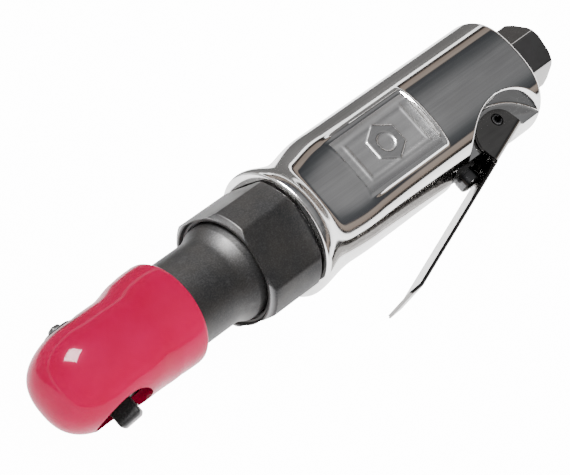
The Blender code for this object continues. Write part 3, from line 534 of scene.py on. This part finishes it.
def barrel(x, angle):
    """Round rim running through a waist into a barrel with two broad faces. A section joins a
    circle to flats, height / |cos angle|, by a power mean; the lower the power the softer the join."""
    across = np.abs(np.cos(angle))
    grown = smoothstep(78, 108, x)
    flat = 16.7 - 0.35 * (1 - grown) * (np.cos(angle) > 0)
    power = 7 + 2 * grown
    face = flat / np.maximum(across, 0.05)
    grip = (GRIP_R ** -power + face ** -power) ** (-1 / power)
    t = np.clip((x - 69.6) / (92 - 69.6), 0, 1)
    ease = smoothstep(0, 1, np.minimum(1, t * (1.6 + 1.8 * across ** 2)))
    toward_lever = np.maximum(0, np.sin(angle))
    depth = 1.9 * (1 - 0.75 * toward_lever ** 2) * (1 - across ** 2)
    radius = RIM_R * (1 - ease) + grip * ease - depth * np.sin(np.pi * t ** 0.7) ** 2
    rear = np.clip((x - (HOUSING_END - REAR_ROUND)) / REAR_ROUND, 0, 1)
    return radius - REAR_ROUND * (1 - np.sqrt(1 - rear ** 2))


def emblem(x, y):
    """Relief in the pocket: a plain hexagon with a round hole, in a thin frame."""
    cx, cy = x - 104.5, y - 0.4
    slopes = [math.radians(a) for a in (0, 60, 120)]
    hexagon = np.max([np.abs(cx * math.cos(a) + cy * math.sin(a)) for a in slopes], axis=0)
    ring = 1 - smoothstep(4.9, 5.4, hexagon)
    hole = 1 - smoothstep(2.5, 3.0, np.hypot(cx, cy))
    frame_line = np.abs(np.maximum(np.abs(cx) - 11.6, np.abs(cy) - 6.1))
    return 0.38 * np.maximum(ring - hole, 0) + 0.16 * (1 - smoothstep(0.15, 0.8, frame_line))


def pocket(x, angle, radius):
    """Inside a rectangle the surface drops to a floor with steep walls and a raised border."""
    y, z = -radius * np.sin(angle), radius * np.cos(angle)
    sides = np.minimum(y - POCKET_Y[0], POCKET_Y[1] - y)
    inside = soft_min(sides, POCKET_X[1] - x, 0.8)
    inside = np.minimum(inside, x - POCKET_X[0])
    floor = POCKET_FLOOR + emblem(x, y) + WALL_SLOPE * np.maximum(0, -inside)
    front = smoothstep(POCKET_X[0] - 1.5, POCKET_X[0] + 5, x)
    border = 0.45 * front * np.exp(-(((-inside - 0.75) / 0.5) ** 2)) * (z > 0)
    lowered = soft_min(radius + border, floor / np.maximum(np.cos(angle), 0.3), 0.18)
    return np.where((np.cos(angle) > 0.4) & (inside > -3), lowered, radius)


def lug_and_scoops(x, angle, radius):
    """Either side of the lug a round scoop runs in to a flat floor, and the lug is cut away
    below so that the lever's web can swing."""
    side = np.maximum(np.sin(angle), 1e-3)
    off = np.clip(SCOOP_R ** 2 - (x - SCOOP_AT[0]) ** 2, 0, None)
    edge = np.where(off > 0, SCOOP_AT[1] - np.sqrt(off), 40.0)
    wall = edge / side
    floor = LUG_HALF_Z / np.maximum(np.abs(np.cos(angle)), 1e-3)
    scooped = soft_min(radius, soft_max(wall, floor, 0.8), 1.0)
    behind = x - HINGE.x
    web = 11.3 + (4.75 - behind * math.sin(LEVER_TILT)) / math.cos(LEVER_TILT)
    under = np.where((behind > -3) & (behind < 6.6), np.minimum(RELIEF, web), RELIEF)
    under = under + 3.0 * (1 - smoothstep(121.6, 122.6, x)) + 4.0 * smoothstep(152, 152.8, x)
    return np.where(np.sin(angle) > 0.05, soft_min(scooped, under / side, 0.3), radius)


print("housing radius at mid grip:", barrel(np.array([[110.0]]), np.array([[1.57]]))[0, 0].round(2))

# %% [markdown]
# ## The housing as one closed skin
# Rows follow one line all the way through the casting: out of the motor bore, over the front rim,
# along the outside and back in through the air inlet. Rows and columns are close together where
# the pocket and scoops are, and far apart on the plain back, which keeps the triangle count down.

# %% Build the housing
def housing():
    degrees = np.concatenate([np.arange(-36, 36, 0.9), np.arange(36, 150, 1.0), np.arange(150, 324, 3.0)])
    angle = np.radians(degrees)[None]
    stations = np.concatenate([np.linspace(68.9, 71, 8), np.linspace(71.4, 88.6, 36),
                               np.arange(89.0, 89.6, 0.3),
                               np.arange(89.6, 90.4, 0.1), np.arange(90.4, 119.0, 0.28),
                               np.arange(119.0, 122.0, 0.15), np.arange(122.0, 124.5, 0.3),
                               np.arange(124.5, HOUSING_END - 1.5, 0.23),
                               HOUSING_END - REAR_ROUND * (1 - np.sin(np.linspace(0.02, 1.5, 12)))])
    x = stations[:, None]
    radius = barrel(x, angle)
    radius = pocket(x, angle, radius)
    radius = lug_and_scoops(x, angle, radius)
    outside = np.stack([x + 0 * angle, -radius * np.sin(angle), radius * np.cos(angle)], -1)

    def round_rows(profile):
        along, r = np.array(profile, float).T[..., None]
        return np.stack([along + 0 * angle, -r * np.sin(angle), r * np.cos(angle)], -1)

    bore = [(123.4, 0.01), (123.4, 13.7), (74.2, 13.7), (74.2, 15.1), (68.3, 15.1), (68.05, 15.3),
            (RIM_X, 15.5), (RIM_X, 17.7), (68.06, 18.0), (68.25, 18.3), (68.5, 18.45)]
    last = outside[-1]
    inner = round_rows([(HOUSING_END, 8.2), (HOUSING_END - 0.3, 7.7), (143, 7.6), (143, 3.2),
                        (127, 3.2), (127, 0.01)])
    closing = last + (inner[0] - last) * 0.15
    closing[:, 0] = HOUSING_END
    rows = np.concatenate([round_rows(bore), outside, closing[None], inner])
    body = skin("motor_housing_skin", rows)
    holes = [rod("valve_bore", "Y", -20, 5, 4.8, (129, 0, 0)),
             rod("air_passage", "X", 121, 127.5, 1.5, (0, -3.4, 0)),
             turned("exhaust_bore", [(121, 0), (121, 3.0), (157, 3.0), (157, 1.5), (162, 1.5), (162, 0)],
                    "X", (0, 11.7, 0), 0.01, 48),
             rod("pin_hole", "Z", -8, 8, 1.75, HINGE)]
    cut(body, holes)
    return body


housing_skin = housing()
finish(housing_skin, "tool_body", "polished_aluminium", "motor_housing")

# %% [markdown]
# ## The clamp nut
# A nut with four flats and a chamfer at each end is the lowest of three surfaces: the round bar it
# was turned from, the flats milled on it, and a cone at each end. Where cone meets flat the edge
# comes out as the curved line that a real nut shows, with no need to draw it.

# %% Build the nut
def flats(angle, sides, half_width, first=0.0):
    """Radius of a regular prism: half width / cos of the angle from the nearest flat."""
    step = 2 * np.pi / sides
    off = (angle - first + step / 2) % step - step / 2
    return half_width / np.cos(off)


def prism(x, angle, sides, half_width, turned_r, cone, first=0.0, blend=0.18):
    """Turned bar, milled flats and end cones, joined softly."""
    cones = cone[:, None] + 0 * angle
    return soft_min(soft_min(turned_r + 0 * x, flats(angle, sides, half_width, first), blend), cones, blend)


def polar_rows(along, radius, angle):
    """Points from a place along the tool and a radius at an angle from +Z toward the lever."""
    return np.stack([along + 0 * angle, -radius * np.sin(angle), radius * np.cos(angle)], -1)


def nut():
    angle = np.linspace(0, 2 * np.pi, 288, endpoint=False)[None]
    x = np.concatenate([np.linspace(NUT_FRONT, NUT_FRONT + 1.6, 14), np.linspace(50.4, 65.6, 14),
                        np.linspace(65.9, 67.4, 12)])
    cone = np.minimum(16.15 + (x - NUT_FRONT) * 1.15, 16.6 + (67.4 - x) * 1.0)
    outside = prism(x[:, None], angle, 4, 15.07, 17.4, cone, math.radians(20))
    rows = polar_rows(x[:, None], outside, angle)
    spigot = np.array([(67.4, 14.8), (69.7, 14.8), (69.7, 14.0), (52.2, 14.0), (52.0, 14.45),
                       (51.2, 14.5), (51.1, 14.15), (50.6, 14.15), (50.5, 14.6), (49.8, 14.65),
                       (49.7, 14.35), (49.3, 14.35),
                       (49.2, 14.9), (48.9, 15.1), (NUT_FRONT, 15.45)])
    inner = polar_rows(spigot[:, :1], spigot[:, 1:], angle)
    made = skin("clamp_nut_skin", np.concatenate([rows, inner]), joined=True)
    return settle(made, 28)


nut_skin = nut()
finish(nut_skin, "tool_body", "black_oxide_steel", "clamp_nut")
nut_skin.data.materials[0] = FINISHES["nut_black"]

# %% [markdown]
# ## The air inlet
# The inlet bushing is the same idea with six flats: a hexagon chamfered at both ends, a narrow
# ring where it seats on the housing, and a socket bored in from the back for the air fitting.

# %% Build the inlet
def inlet():
    angle = np.linspace(0, 2 * np.pi, 192, endpoint=False)[None]
    half = 8.75
    corner = half / math.cos(math.pi / 6)
    start = HEX_END - 14.2
    x = np.concatenate([np.linspace(start, start + 1.8, 12), np.linspace(start + 2.4, HEX_END - 1.8, 8),
                        np.linspace(HEX_END - 1.5, HEX_END, 12)])
    cone = np.minimum(corner - 1.0 + (x - start) * 0.9, corner - 0.95 + (HEX_END - x) * 1.1)
    outside = prism(x[:, None], angle, 6, half, corner - 0.08, cone, math.radians(13.5), 0.14)
    front = np.array([(144.5, 4.0), (144.5, 7.3), (160.75, 7.3), (160.8, 8.1), (160.95, 8.3),
                      (161.5, 8.3), (start - 0.02, 8.1)])
    back = np.array([(HEX_END, 6.6), (HEX_END - 0.35, 6.2), (HEX_END - 0.9, 5.6), (155, 5.6), (155, 4.0)])
    rows = np.concatenate([polar_rows(front[:, :1], front[:, 1:], angle),
                           polar_rows(x[:, None], outside, angle),
                           polar_rows(back[:, :1], back[:, 1:], angle)])
    return settle(skin("inlet_bushing_skin", rows, joined=True), 28)


inlet_skin = inlet()
finish(inlet_skin, "tool_body", "black_chrome", "inlet_bushing")

# %% [markdown]
# ## Head and neck
# The steel behind the boot is one forging: an oval head split by a fork, a round neck, and a
# flare that disappears into the nut. Its skin is a stack of ovals whose size and squareness
# change along the tool, and the fork and bores are cut out of it as they are on the real one.

# %% Build the ratchet housing
def superellipse(angle, half_y, half_z, power):
    """|y / half_y|^power + |z / half_z|^power = 1, as a pair of coordinates."""
    c, s = np.cos(angle), np.sin(angle)
    reach = (np.abs(c) ** power + np.abs(s) ** power) ** (-1 / power)
    return half_y * reach * c, half_z * reach * s


def ovals(x, half_y, half_z, power, count=112):
    """One superellipse for each place along the tool."""
    angle = np.linspace(0, 2 * np.pi, count, endpoint=False)[None]
    y, z = superellipse(angle, half_y[:, None], half_z[:, None], power[:, None])
    return np.stack([x[:, None] + 0 * angle, y, z], -1)


def nose_and_body(nose, half_y, half_z, ends, tail_y, tail_z, tail_x, square=2.6, steps=26):
    """Rounded nose, an even stretch, and a blend to a round tail."""
    a = np.radians(np.concatenate([[1.5, 4, 8], np.linspace(12, 90, steps)]))
    even = np.linspace(0.6, ends[0], 12)
    t = np.linspace(0, 1, 18)[1:]
    ease = smoothstep(0, 1, t)
    x = np.concatenate([-nose * np.cos(a), even, ends[0] + (ends[1] - ends[0]) * t, tail_x])
    y = np.concatenate([half_y * np.sin(a) ** 0.68, 0 * even + half_y,
                        half_y + (tail_y[0] - half_y) * ease, tail_y])
    z = np.concatenate([half_z * np.sin(a) ** 0.9, 0 * even + half_z,
                        half_z + (tail_z[0] - half_z) * ease, tail_z])
    power = np.concatenate([0 * a + square, 0 * even + square, square + (2 - square) * ease,
                            0 * tail_x + 2])
    return x, y, z, power


def ratchet_body():
    flare = np.linspace(0, 1, 12)
    tail_x = np.concatenate([[20, 28, 36], 42.5 + 5 * flare, [70.0, 70.0, 74.0]])
    neck_r = np.concatenate([[12.1, 12.1, 12.1], 12.1 + 1.6 * (1 - np.cos(flare * math.pi / 2)),
                             [13.7, 14.5, 14.5]])
    shape = nose_and_body(12.7, 10.9, 12.2, (13, 18), neck_r, neck_r, tail_x)
    body = skin("ratchet_housing_skin", ovals(*shape))
    bores = [block("fork", (-16, -4.9, -16), (17, 4.9, 16)),
             rod("spindle_bore", "Y", -14, 14, 6.3),
             rod("flange_seat", "Y", -16, -9.6, 8.6),
             rod("washer_seat", "Y", 9.6, 16, 8.6),
             turned("crank_bore", [(15, 0), (15, 9), (24, 9), (24, 6.4), (64.5, 6.4), (64.5, 11),
                                   (75, 11), (75, 0)], "X", edge=0.01, count=64)]
    cut(body, bores)
    return body


ratchet_skin = ratchet_body()
finish(ratchet_skin, "tool_body", "black_oxide_steel", "ratchet_housing")

# %% [markdown]
# ## The boot
# The boot is a dipped sleeve: a fat nose, flatter sides over the head, a pinch behind it and a
# plain collar on the neck. Outside and lining are two stacks of ovals joined at the rear lip,
# and a round hole is punched through each side for the square and for the reverse knob.

# %% Build the boot
def boot():
    tail_x = np.array([20.2, 22.0, 24.5, 26.2, 26.9, 27.3, 27.5])
    tail_r = np.array([14.35, 14.5, 14.58, 14.6, 14.5, 14.25, 13.9])
    outer = nose_and_body(15.9, 13.4, 14.2, (10.5, 19.0), tail_r, tail_r, tail_x, 2.25)
    pinch = 0.4 * np.exp(-(((outer[0] - 15.6) / 3.5) ** 2))
    outside = ovals(outer[0], outer[1] - 0.3 * pinch, outer[2] - pinch, outer[3])
    outside[..., 1] -= 0.8 * (1 - smoothstep(10, 22, outside[..., 0]))
    lining_x = np.array([18.5, 22.0, 27.35])
    lining = nose_and_body(13.1, 11.2, 12.6, (13, 17.5), 0 * lining_x + 12.4, 0 * lining_x + 12.4, lining_x)
    inside = ovals(*lining)[::-1]
    body = skin("boot_skin", np.concatenate([outside, inside]))
    cut(body, [rod("drive_hole", "Y", -18, -7, 8.5, count=96), rod("knob_hole", "Y", 7, 18, 6.3, count=72)])
    return body


boot_skin = boot()
finish(boot_skin, "tool_body", "boot_pvc", "boot")

# %% [markdown]
# ## Square drive and socket ball
# The spindle is round where it turns in the head and square where it takes a socket. Both are one
# section: a square whose corners are turned down to a radius. Where that radius is smaller than
# the half side the section is round, so the same formula makes every step along the spindle.

# %% Build the spindle, the ball and the reverse knob
SQUARE_TURN = math.radians(34)
HALF_SQUARE = 3.175
ALL_ROUND = 12.0                # a half side so large that the section is a plain circle
BALL_Y = 2.8 - REACH


def spindle_section(y, half, corner, count=160):
    """A square of a half side with its corners turned to a radius, softly, about the drive."""
    angle = np.linspace(0, 2 * np.pi, count, endpoint=False)
    flat = half / np.maximum(np.abs(np.cos(angle)), np.abs(np.sin(angle)))
    radius = soft_min(flat, corner + 0 * angle, 0.18)
    facing = angle + SQUARE_TURN
    return np.stack([radius * np.cos(facing), y + 0 * angle, radius * np.sin(facing)], -1)


def spindle():
    end = -REACH
    lathe = [(11.9, 5.5), (11.8, 5.7), (11.45, 6.0), (11.35, 6.0), (11.35, 5.0), (10.75, 5.0),
             (10.75, 6.0), (-9.9, 6.0), (-9.9, 8.1), (-10.0, 8.2), (-10.7, 8.2), (-10.8, 8.1),
             (-10.8, 4.6), (-11.2, 4.4)]
    steps = [(y, ALL_ROUND, radius) for y, radius in lathe] + [(-11.4, HALF_SQUARE, 4.3)]
    steps += [(y, HALF_SQUARE, 4.3) for y in np.linspace(-11.8, end + 1.1, 10)]
    steps += [(end + 0.9 * (1 - t), HALF_SQUARE - 0.75 * t ** 1.6, 4.3 - 1.1 * t ** 1.3)
              for t in np.linspace(0.1, 1, 9)]
    body = skin("square_drive_skin", np.array([spindle_section(*step) for step in steps]))
    turn = Matrix.Rotation(-SQUARE_TURN, 4, "Y")
    hole = rod("ball_hole", "X", 0.4, 5, 1.25, (0, 0, 0))
    to_ball = Matrix.Translation((0, (AXIS_Y + BALL_Y) * MM, 0))
    hole.data.transform(to_ball @ turn @ Matrix.Translation((0, -AXIS_Y * MM, 0)))
    cut(body, [block("pawl_window", (-8, -4.2, -3), (8, 4.2, 3)), rod("knob_bore", "Y", 4, 13, 3.8),
               rod("pawl_pin_bore", "Y", -6.9, -4, 1.2), hole])
    return body


def ball():
    """Sphere: radius times (cos v cos u, sin v, cos v sin u)."""
    radius = 0.95
    u = np.linspace(0, 2 * np.pi, 40, endpoint=False)[None]
    v = np.linspace(-1.55, 1.55, 22)[:, None]
    out = HALF_SQUARE - 0.55
    centre = (out * math.cos(SQUARE_TURN), BALL_Y, out * math.sin(SQUARE_TURN))
    points = np.stack([np.cos(v) * np.cos(u), np.sin(v) + 0 * u, np.cos(v) * np.sin(u)], -1) * radius
    return settle(skin("socket_ball_skin", points + centre), 60)


def knob():
    """Turned disc and stem, with a one-sided thumb tab whose sections are rounded oblongs."""
    body = turned("reverse_knob_skin", [(4.6, 0), (4.6, 3.5), (12.2, 3.5), (12.2, 4.0), (12.45, 4.0),
                                        (12.6, 3.8), (12.6, 0)],
                  "Y", edge=0.2)
    across = np.linspace(0, 2 * np.pi, 48, endpoint=False)[None]
    along = np.sin(np.linspace(-np.pi / 2, np.pi / 2, 26))[:, None]
    swell = np.maximum(1 - along ** 6, 0.0) ** 0.5 + 0.001
    wide, tall = superellipse(across, 1.5 * swell, 1.75 * swell, 4.0)
    tab = np.stack([wide + 1.1, 12.5 + tall, 1.9 * along - 2.3 + 0 * across], -1)
    cut(body, [skin("tab", tab)], "UNION")
    cut(body, [rod("knob_plunger_bore", "Y", 4, 9.6, 1.15, (2, 0, 0))])
    return body


square_skin, ball_skin, knob_skin = spindle(), ball(), knob()
finish(square_skin, "spindle", "black_oxide_steel", "square_drive")
# The spindle wears the half-tone black steel, whose extra darkness is painted shade.
square_skin.data.materials[0] = FINISHES["square_black_painted_shade"]
finish(ball_skin, "ball", "bright_steel", "socket_ball")
finish(knob_skin, "knob", "black_oxide_steel", "reverse_knob")

# %% [markdown]
# ## The throttle lever
# The lever is pressed from 1 mm sheet: a flat web, and two ears folded down round the hinge pin.
# A folded sheet is a flat pattern with bends, so its middle surface is a grid whose one direction
# runs along the web and whose other runs down one ear, round the fold, across the web and down
# the other ear. Solidify then gives the sheet its thickness and Bevel eases its cut edges.

# %% Build the lever and its pin
LEVER_OUT = 6.3
SHEET = 1.0
LEVER_HALF_Z = 7.4
LEVER_LENGTH = 61.0
EAR = (3.4, 2.2, 8.2, 6.2)      # centre along and out, half length, half depth


def lever():
    """Rows go along the web (p); columns go from one ear's edge to the other's."""
    middle, half, bend = LEVER_OUT - SHEET / 2, LEVER_HALF_Z - SHEET / 2, 1.3
    p = np.concatenate([EAR[0] + EAR[2] * np.sin(np.linspace(-0.93, 1.0, 60) * np.pi / 2),
                        [11.75, 11.9, 12.4, 13.5],
                        np.linspace(15, LEVER_LENGTH, 40), LEVER_LENGTH + np.linspace(0.5, 4.4, 12)])
    inside = np.clip(1 - ((p - EAR[0]) / EAR[2]) ** 2, 0, None)
    low = EAR[1] - EAR[3] * np.sqrt(inside)
    low = np.where(p > EAR[0] + EAR[2] - 0.02, EAR[1] + (p - 11.6) * 12, low)
    low = np.clip(low, -9, middle - 0.02)
    fold = np.minimum(bend, (middle - low) * 0.9)
    ear_rows = np.linspace(0, 1, 16)
    arc = np.linspace(0, np.pi / 2, 9)[1:]
    p_, low_, fold_ = (value[:, None] for value in (p, low, fold))
    depth = low_ + (middle - fold_ - low_) * ear_rows
    q = np.concatenate([depth, middle - fold_ * (1 - np.sin(arc))], 1)
    z = np.concatenate([half + 0 * depth, half - fold_ * (1 - np.cos(arc))], 1)
    flat = np.linspace(1, -1, 15)[1:-1] * (half - fold_)
    q = np.concatenate([q, middle + 0 * flat, q[:, ::-1]], 1)
    z = np.concatenate([z, flat, -z[:, ::-1]], 1)
    past = np.clip(p_ - LEVER_LENGTH, 0, None)
    q = q - past * math.tan(math.radians(15))
    cos, sin = math.cos(LEVER_TILT), math.sin(LEVER_TILT)
    x = HINGE.x - p_ * cos + q * sin
    y = HINGE.y - p_ * sin - q * cos
    rows, columns = x.shape
    index = np.arange(rows * columns).reshape(rows, columns)
    quads = np.stack([index[:-1, :-1], index[:-1, 1:], index[1:, 1:], index[1:, :-1]], -1).reshape(-1, 4)
    points = (np.stack([x, y, z], -1).reshape(-1, 3) + (0, AXIS_Y, 0)) * MM
    mesh = bpy.data.meshes.new("throttle_lever_skin")
    mesh.from_pydata(points.tolist(), [], quads.tolist())
    made = bpy.data.objects.new("throttle_lever_skin", mesh)
    bpy.context.collection.objects.link(made)
    wall = made.modifiers.new("wall", "SOLIDIFY")
    wall.thickness = SHEET * MM
    wall.offset = 0
    settle(made)
    edge = made.modifiers.new("edge", "BEVEL")
    edge.width = 0.12 * MM
    edge.segments = 2
    edge.limit_method = "ANGLE"
    edge.angle_limit = math.radians(50)
    settle(made)
    cut(made, [rod("ear_hole", "Z", -9, 9, 1.9, HINGE)])
    return made


def roll_pin():
    """Sheet rolled into a C: an outer and an inner arc, carried along Z."""
    gap = math.radians(24)
    turn = np.linspace(gap, 2 * np.pi - gap, 60)
    def outline(outer, inner):
        return np.concatenate([np.stack([outer * np.cos(turn), outer * np.sin(turn)], -1),
                               np.stack([inner * np.cos(turn[::-1]), inner * np.sin(turn[::-1])], -1)])
    rows = [(-7.7, 1.42, 1.05), (-7.45, 1.6, 0.95), (7.45, 1.6, 0.95), (7.7, 1.42, 1.05)]
    points = np.array([[(*point, z) for point in outline(outer, inner)] for z, outer, inner in rows])
    return settle(skin("lever_roll_pin_skin", points + np.array(HINGE)), 40)


lever_skin, pin_skin = lever(), roll_pin()
finish(lever_skin, "lever", "lever_steel", "throttle_lever")
finish(pin_skin, "tool_body", "spring_steel", "lever_roll_pin")

# %% [markdown]
# ## The throttle valve's plunger
# Pressing the lever pushes this pin into the grip. It is turned with a domed end so that the
# lever can slide over it, and it runs in a bushing whose mouth stands a little proud.

# %% Build the plunger and its bushing
def valve():
    at = (129.0, 0, 0)
    dome = [(-20.9 + 1.0 * (1 - math.cos(a)), 1.0 + 2.4 * math.sin(a))
            for a in np.linspace(0, math.pi / 2, 9)]
    outline = [(-20.9, 0)] + dome + [(-17.4, 3.4), (-17.3, 3.25), (-17.0, 3.25), (-16.9, 3.4),
                                     (-8.0, 3.4), (-8.0, 1.5), (-4.4, 1.5), (-4.4, 4.1),
                                     (-3.0, 4.1), (-3.0, 0)]
    pin = settle(turned("throttle_plunger_skin", outline, "Y", at, 0.03), 30)
    sleeve = turned("plunger_bushing_skin", [(-16.6, 3.7), (-16.6, 4.5), (-6.0, 4.5), (-6.0, 3.7)],
                    "Y", at, 0.2, ring=True)
    return pin, settle(sleeve, 30)


plunger_skin, bushing_skin = valve()
finish(plunger_skin, "plunger", "black_oxide_steel", "throttle_plunger")
plunger_skin.data.materials[0] = FINISHES["plunger_black"]
finish(bushing_skin, "tool_body", "black_oxide_steel", "plunger_bushing")

# %% [markdown]
# ## Studio
# Polished metal shows the room it stands in, so the room matters more than the lamps. Overhead it
# is dim, a warm band stands behind the tool, and the horizon and the table are white. Soft lamps
# that mirrors can't see light the boot and the table; a square lamp that only mirrors see makes the
# highlight, and a grey card that only mirrors see lies on the table beyond the tool.

# %% Floor, room and lamps
def level_sheet(name, low, high, height):
    """A flat rectangle between two corners of the table, on the stage and not the object."""
    (x0, y0), (x1, y1) = low, high
    mesh = bpy.data.meshes.new(name)
    mesh.from_pydata([(x0, y0, height), (x1, y0, height), (x1, y1, height), (x0, y1, height)],
                     [], [(0, 1, 2, 3)])
    made = bpy.data.objects.new(name, mesh)
    bpy.context.collection.objects.link(made)
    look = bpy.data.materials.new(name)
    look.use_nodes = True
    made.data.materials.append(look)
    return made, look.node_tree


def floor():
    """White table: brighter to the camera than to a mirror, so that it reads as plain white."""
    size = 3.0
    _, tree = level_sheet("floor", (-size, -size), (size, size), cad_box[0][2] - 0.0005)
    shader = tree.nodes["Principled BSDF"]
    shader.inputs["Base Color"].default_value = (0.9, 0.9, 0.9, 1)
    shader.inputs["Roughness"].default_value = 0.9
    shader.inputs["Emission Color"].default_value = (1, 1, 1, 1)
    path = tree.nodes.new("ShaderNodeLightPath")
    to_camera, to_mirror = (Wire(tree, path.outputs[f"Is {kind} Ray"]) for kind in ("Camera", "Glossy"))
    seen = to_camera * 14.0 + to_mirror * 2.4
    tree.links.new(seen.socket, shader.inputs["Emission Strength"])


def dark_card():
    """A grey card flat on the table beyond the tool, which only mirrors can see."""
    near, far = AXIS_Y * MM + 0.038, AXIS_Y * MM + 1.6
    card, tree = level_sheet("dark_card", (-1.6, near), (1.6, far), cad_box[0][2] - 0.0003)
    shader = tree.nodes["Principled BSDF"]
    shader.inputs["Base Color"].default_value = (0, 0, 0, 1)
    shader.inputs["Emission Color"].default_value = (1, 0.99, 0.98, 1)
    shader.inputs["Emission Strength"].default_value = 0.14
    card.visible_camera = card.visible_diffuse = card.visible_shadow = False


def room():
    world = bpy.data.worlds.new("room")
    bpy.context.scene.world = world
    world.use_nodes = True
    tree = world.node_tree
    place = tree.nodes.new("ShaderNodeTexCoord")
    split = tree.nodes.new("ShaderNodeSeparateXYZ")
    tree.links.new(place.outputs["Generated"], split.inputs[0])
    height = Wire(tree, split.outputs["Z"])
    ramp = tree.nodes.new("ShaderNodeValToRGB")
    stops = [(0.0, (2.6, 2.6, 2.6)), (0.09, (2.6, 2.6, 2.6)), (0.115, (0.035, 0.03, 0.028)),
             (0.2, (0.06, 0.05, 0.045)), (0.235, (0.36, 0.29, 0.245)), (0.40, (0.42, 0.35, 0.30)),
             (0.44, (0.055, 0.058, 0.065)),
             (0.62, (0.10, 0.105, 0.11)), (0.78, (0.26, 0.26, 0.265)), (1.0, (0.34, 0.34, 0.34))]
    points = ramp.color_ramp.elements
    while len(points) < len(stops):
        points.new(0.5)
    for point, (position, colour) in zip(points, stops):
        point.position = position
        point.color = (*colour, 1)
    tree.links.new(height.socket, ramp.inputs[0])
    tree.links.new(ramp.outputs[0], tree.nodes["Background"].inputs[0])
    tree.nodes["Background"].inputs[1].default_value = 1.0


def lamp(name, place, aim, size, watts, mirrored):
    """Square area lamp. One that is mirrored shows in shiny surfaces and lights nothing else."""
    light = bpy.data.lights.new(name, "AREA")
    light.shape = "SQUARE"
    light.size = size
    light.energy = watts
    made = bpy.data.objects.new(name, light)
    made.location = place
    made.rotation_euler = (Vector(aim) - Vector(place)).to_track_quat("-Z", "Y").to_euler()
    made.visible_glossy, made.visible_diffuse = mirrored, not mirrored
    bpy.context.collection.objects.link(made)


floor()
dark_card()
room()
middle = (cad_box[0][0] + cad_box[1][0]) / 2
lamp("soft_overhead", (middle, 0.0, 0.9), (middle, 0, 0), 0.9, 5.0, False)
lamp("soft_side", (middle - 0.3, -0.8, 0.45), (middle, 0, 0), 0.5, 2.0, False)
lamp("square_highlight", (-0.22, 0.48, 0.59), (0.0, 0.017, 0), 0.33, 42.0, True)
print("studio ready")

# %% [markdown]
# ## Camera
# A long lens from above the inlet's far end, looking down the tool's lever side. The camera is
# given by the two directions that matter, its right and its line of sight, and by the rim of the
# housing, which sits near the middle of the frame.

# %% Camera
sight = Vector((0.5807, 0.1295, -0.8034)).normalized()
right = Vector((0.6586, -0.655, 0.370))
right = (right - sight * right.dot(sight)).normalized()
above = right.cross(sight)
lens = bpy.data.cameras.new("camera")
lens.lens = 158
lens.sensor_width = 36
camera = bpy.data.objects.new("camera", lens)
bpy.context.collection.objects.link(camera)
stand = Matrix((right, above, -sight)).transposed().to_4x4()
rim = Vector((RIM_X, AXIS_Y, 0)) * MM
stand.translation = rim - sight * 0.6475 + right * 0.00277 - above * 0.00039
camera.matrix_world = stand
bpy.context.scene.camera = camera
print("camera", [round(value, 3) for value in stand.translation])
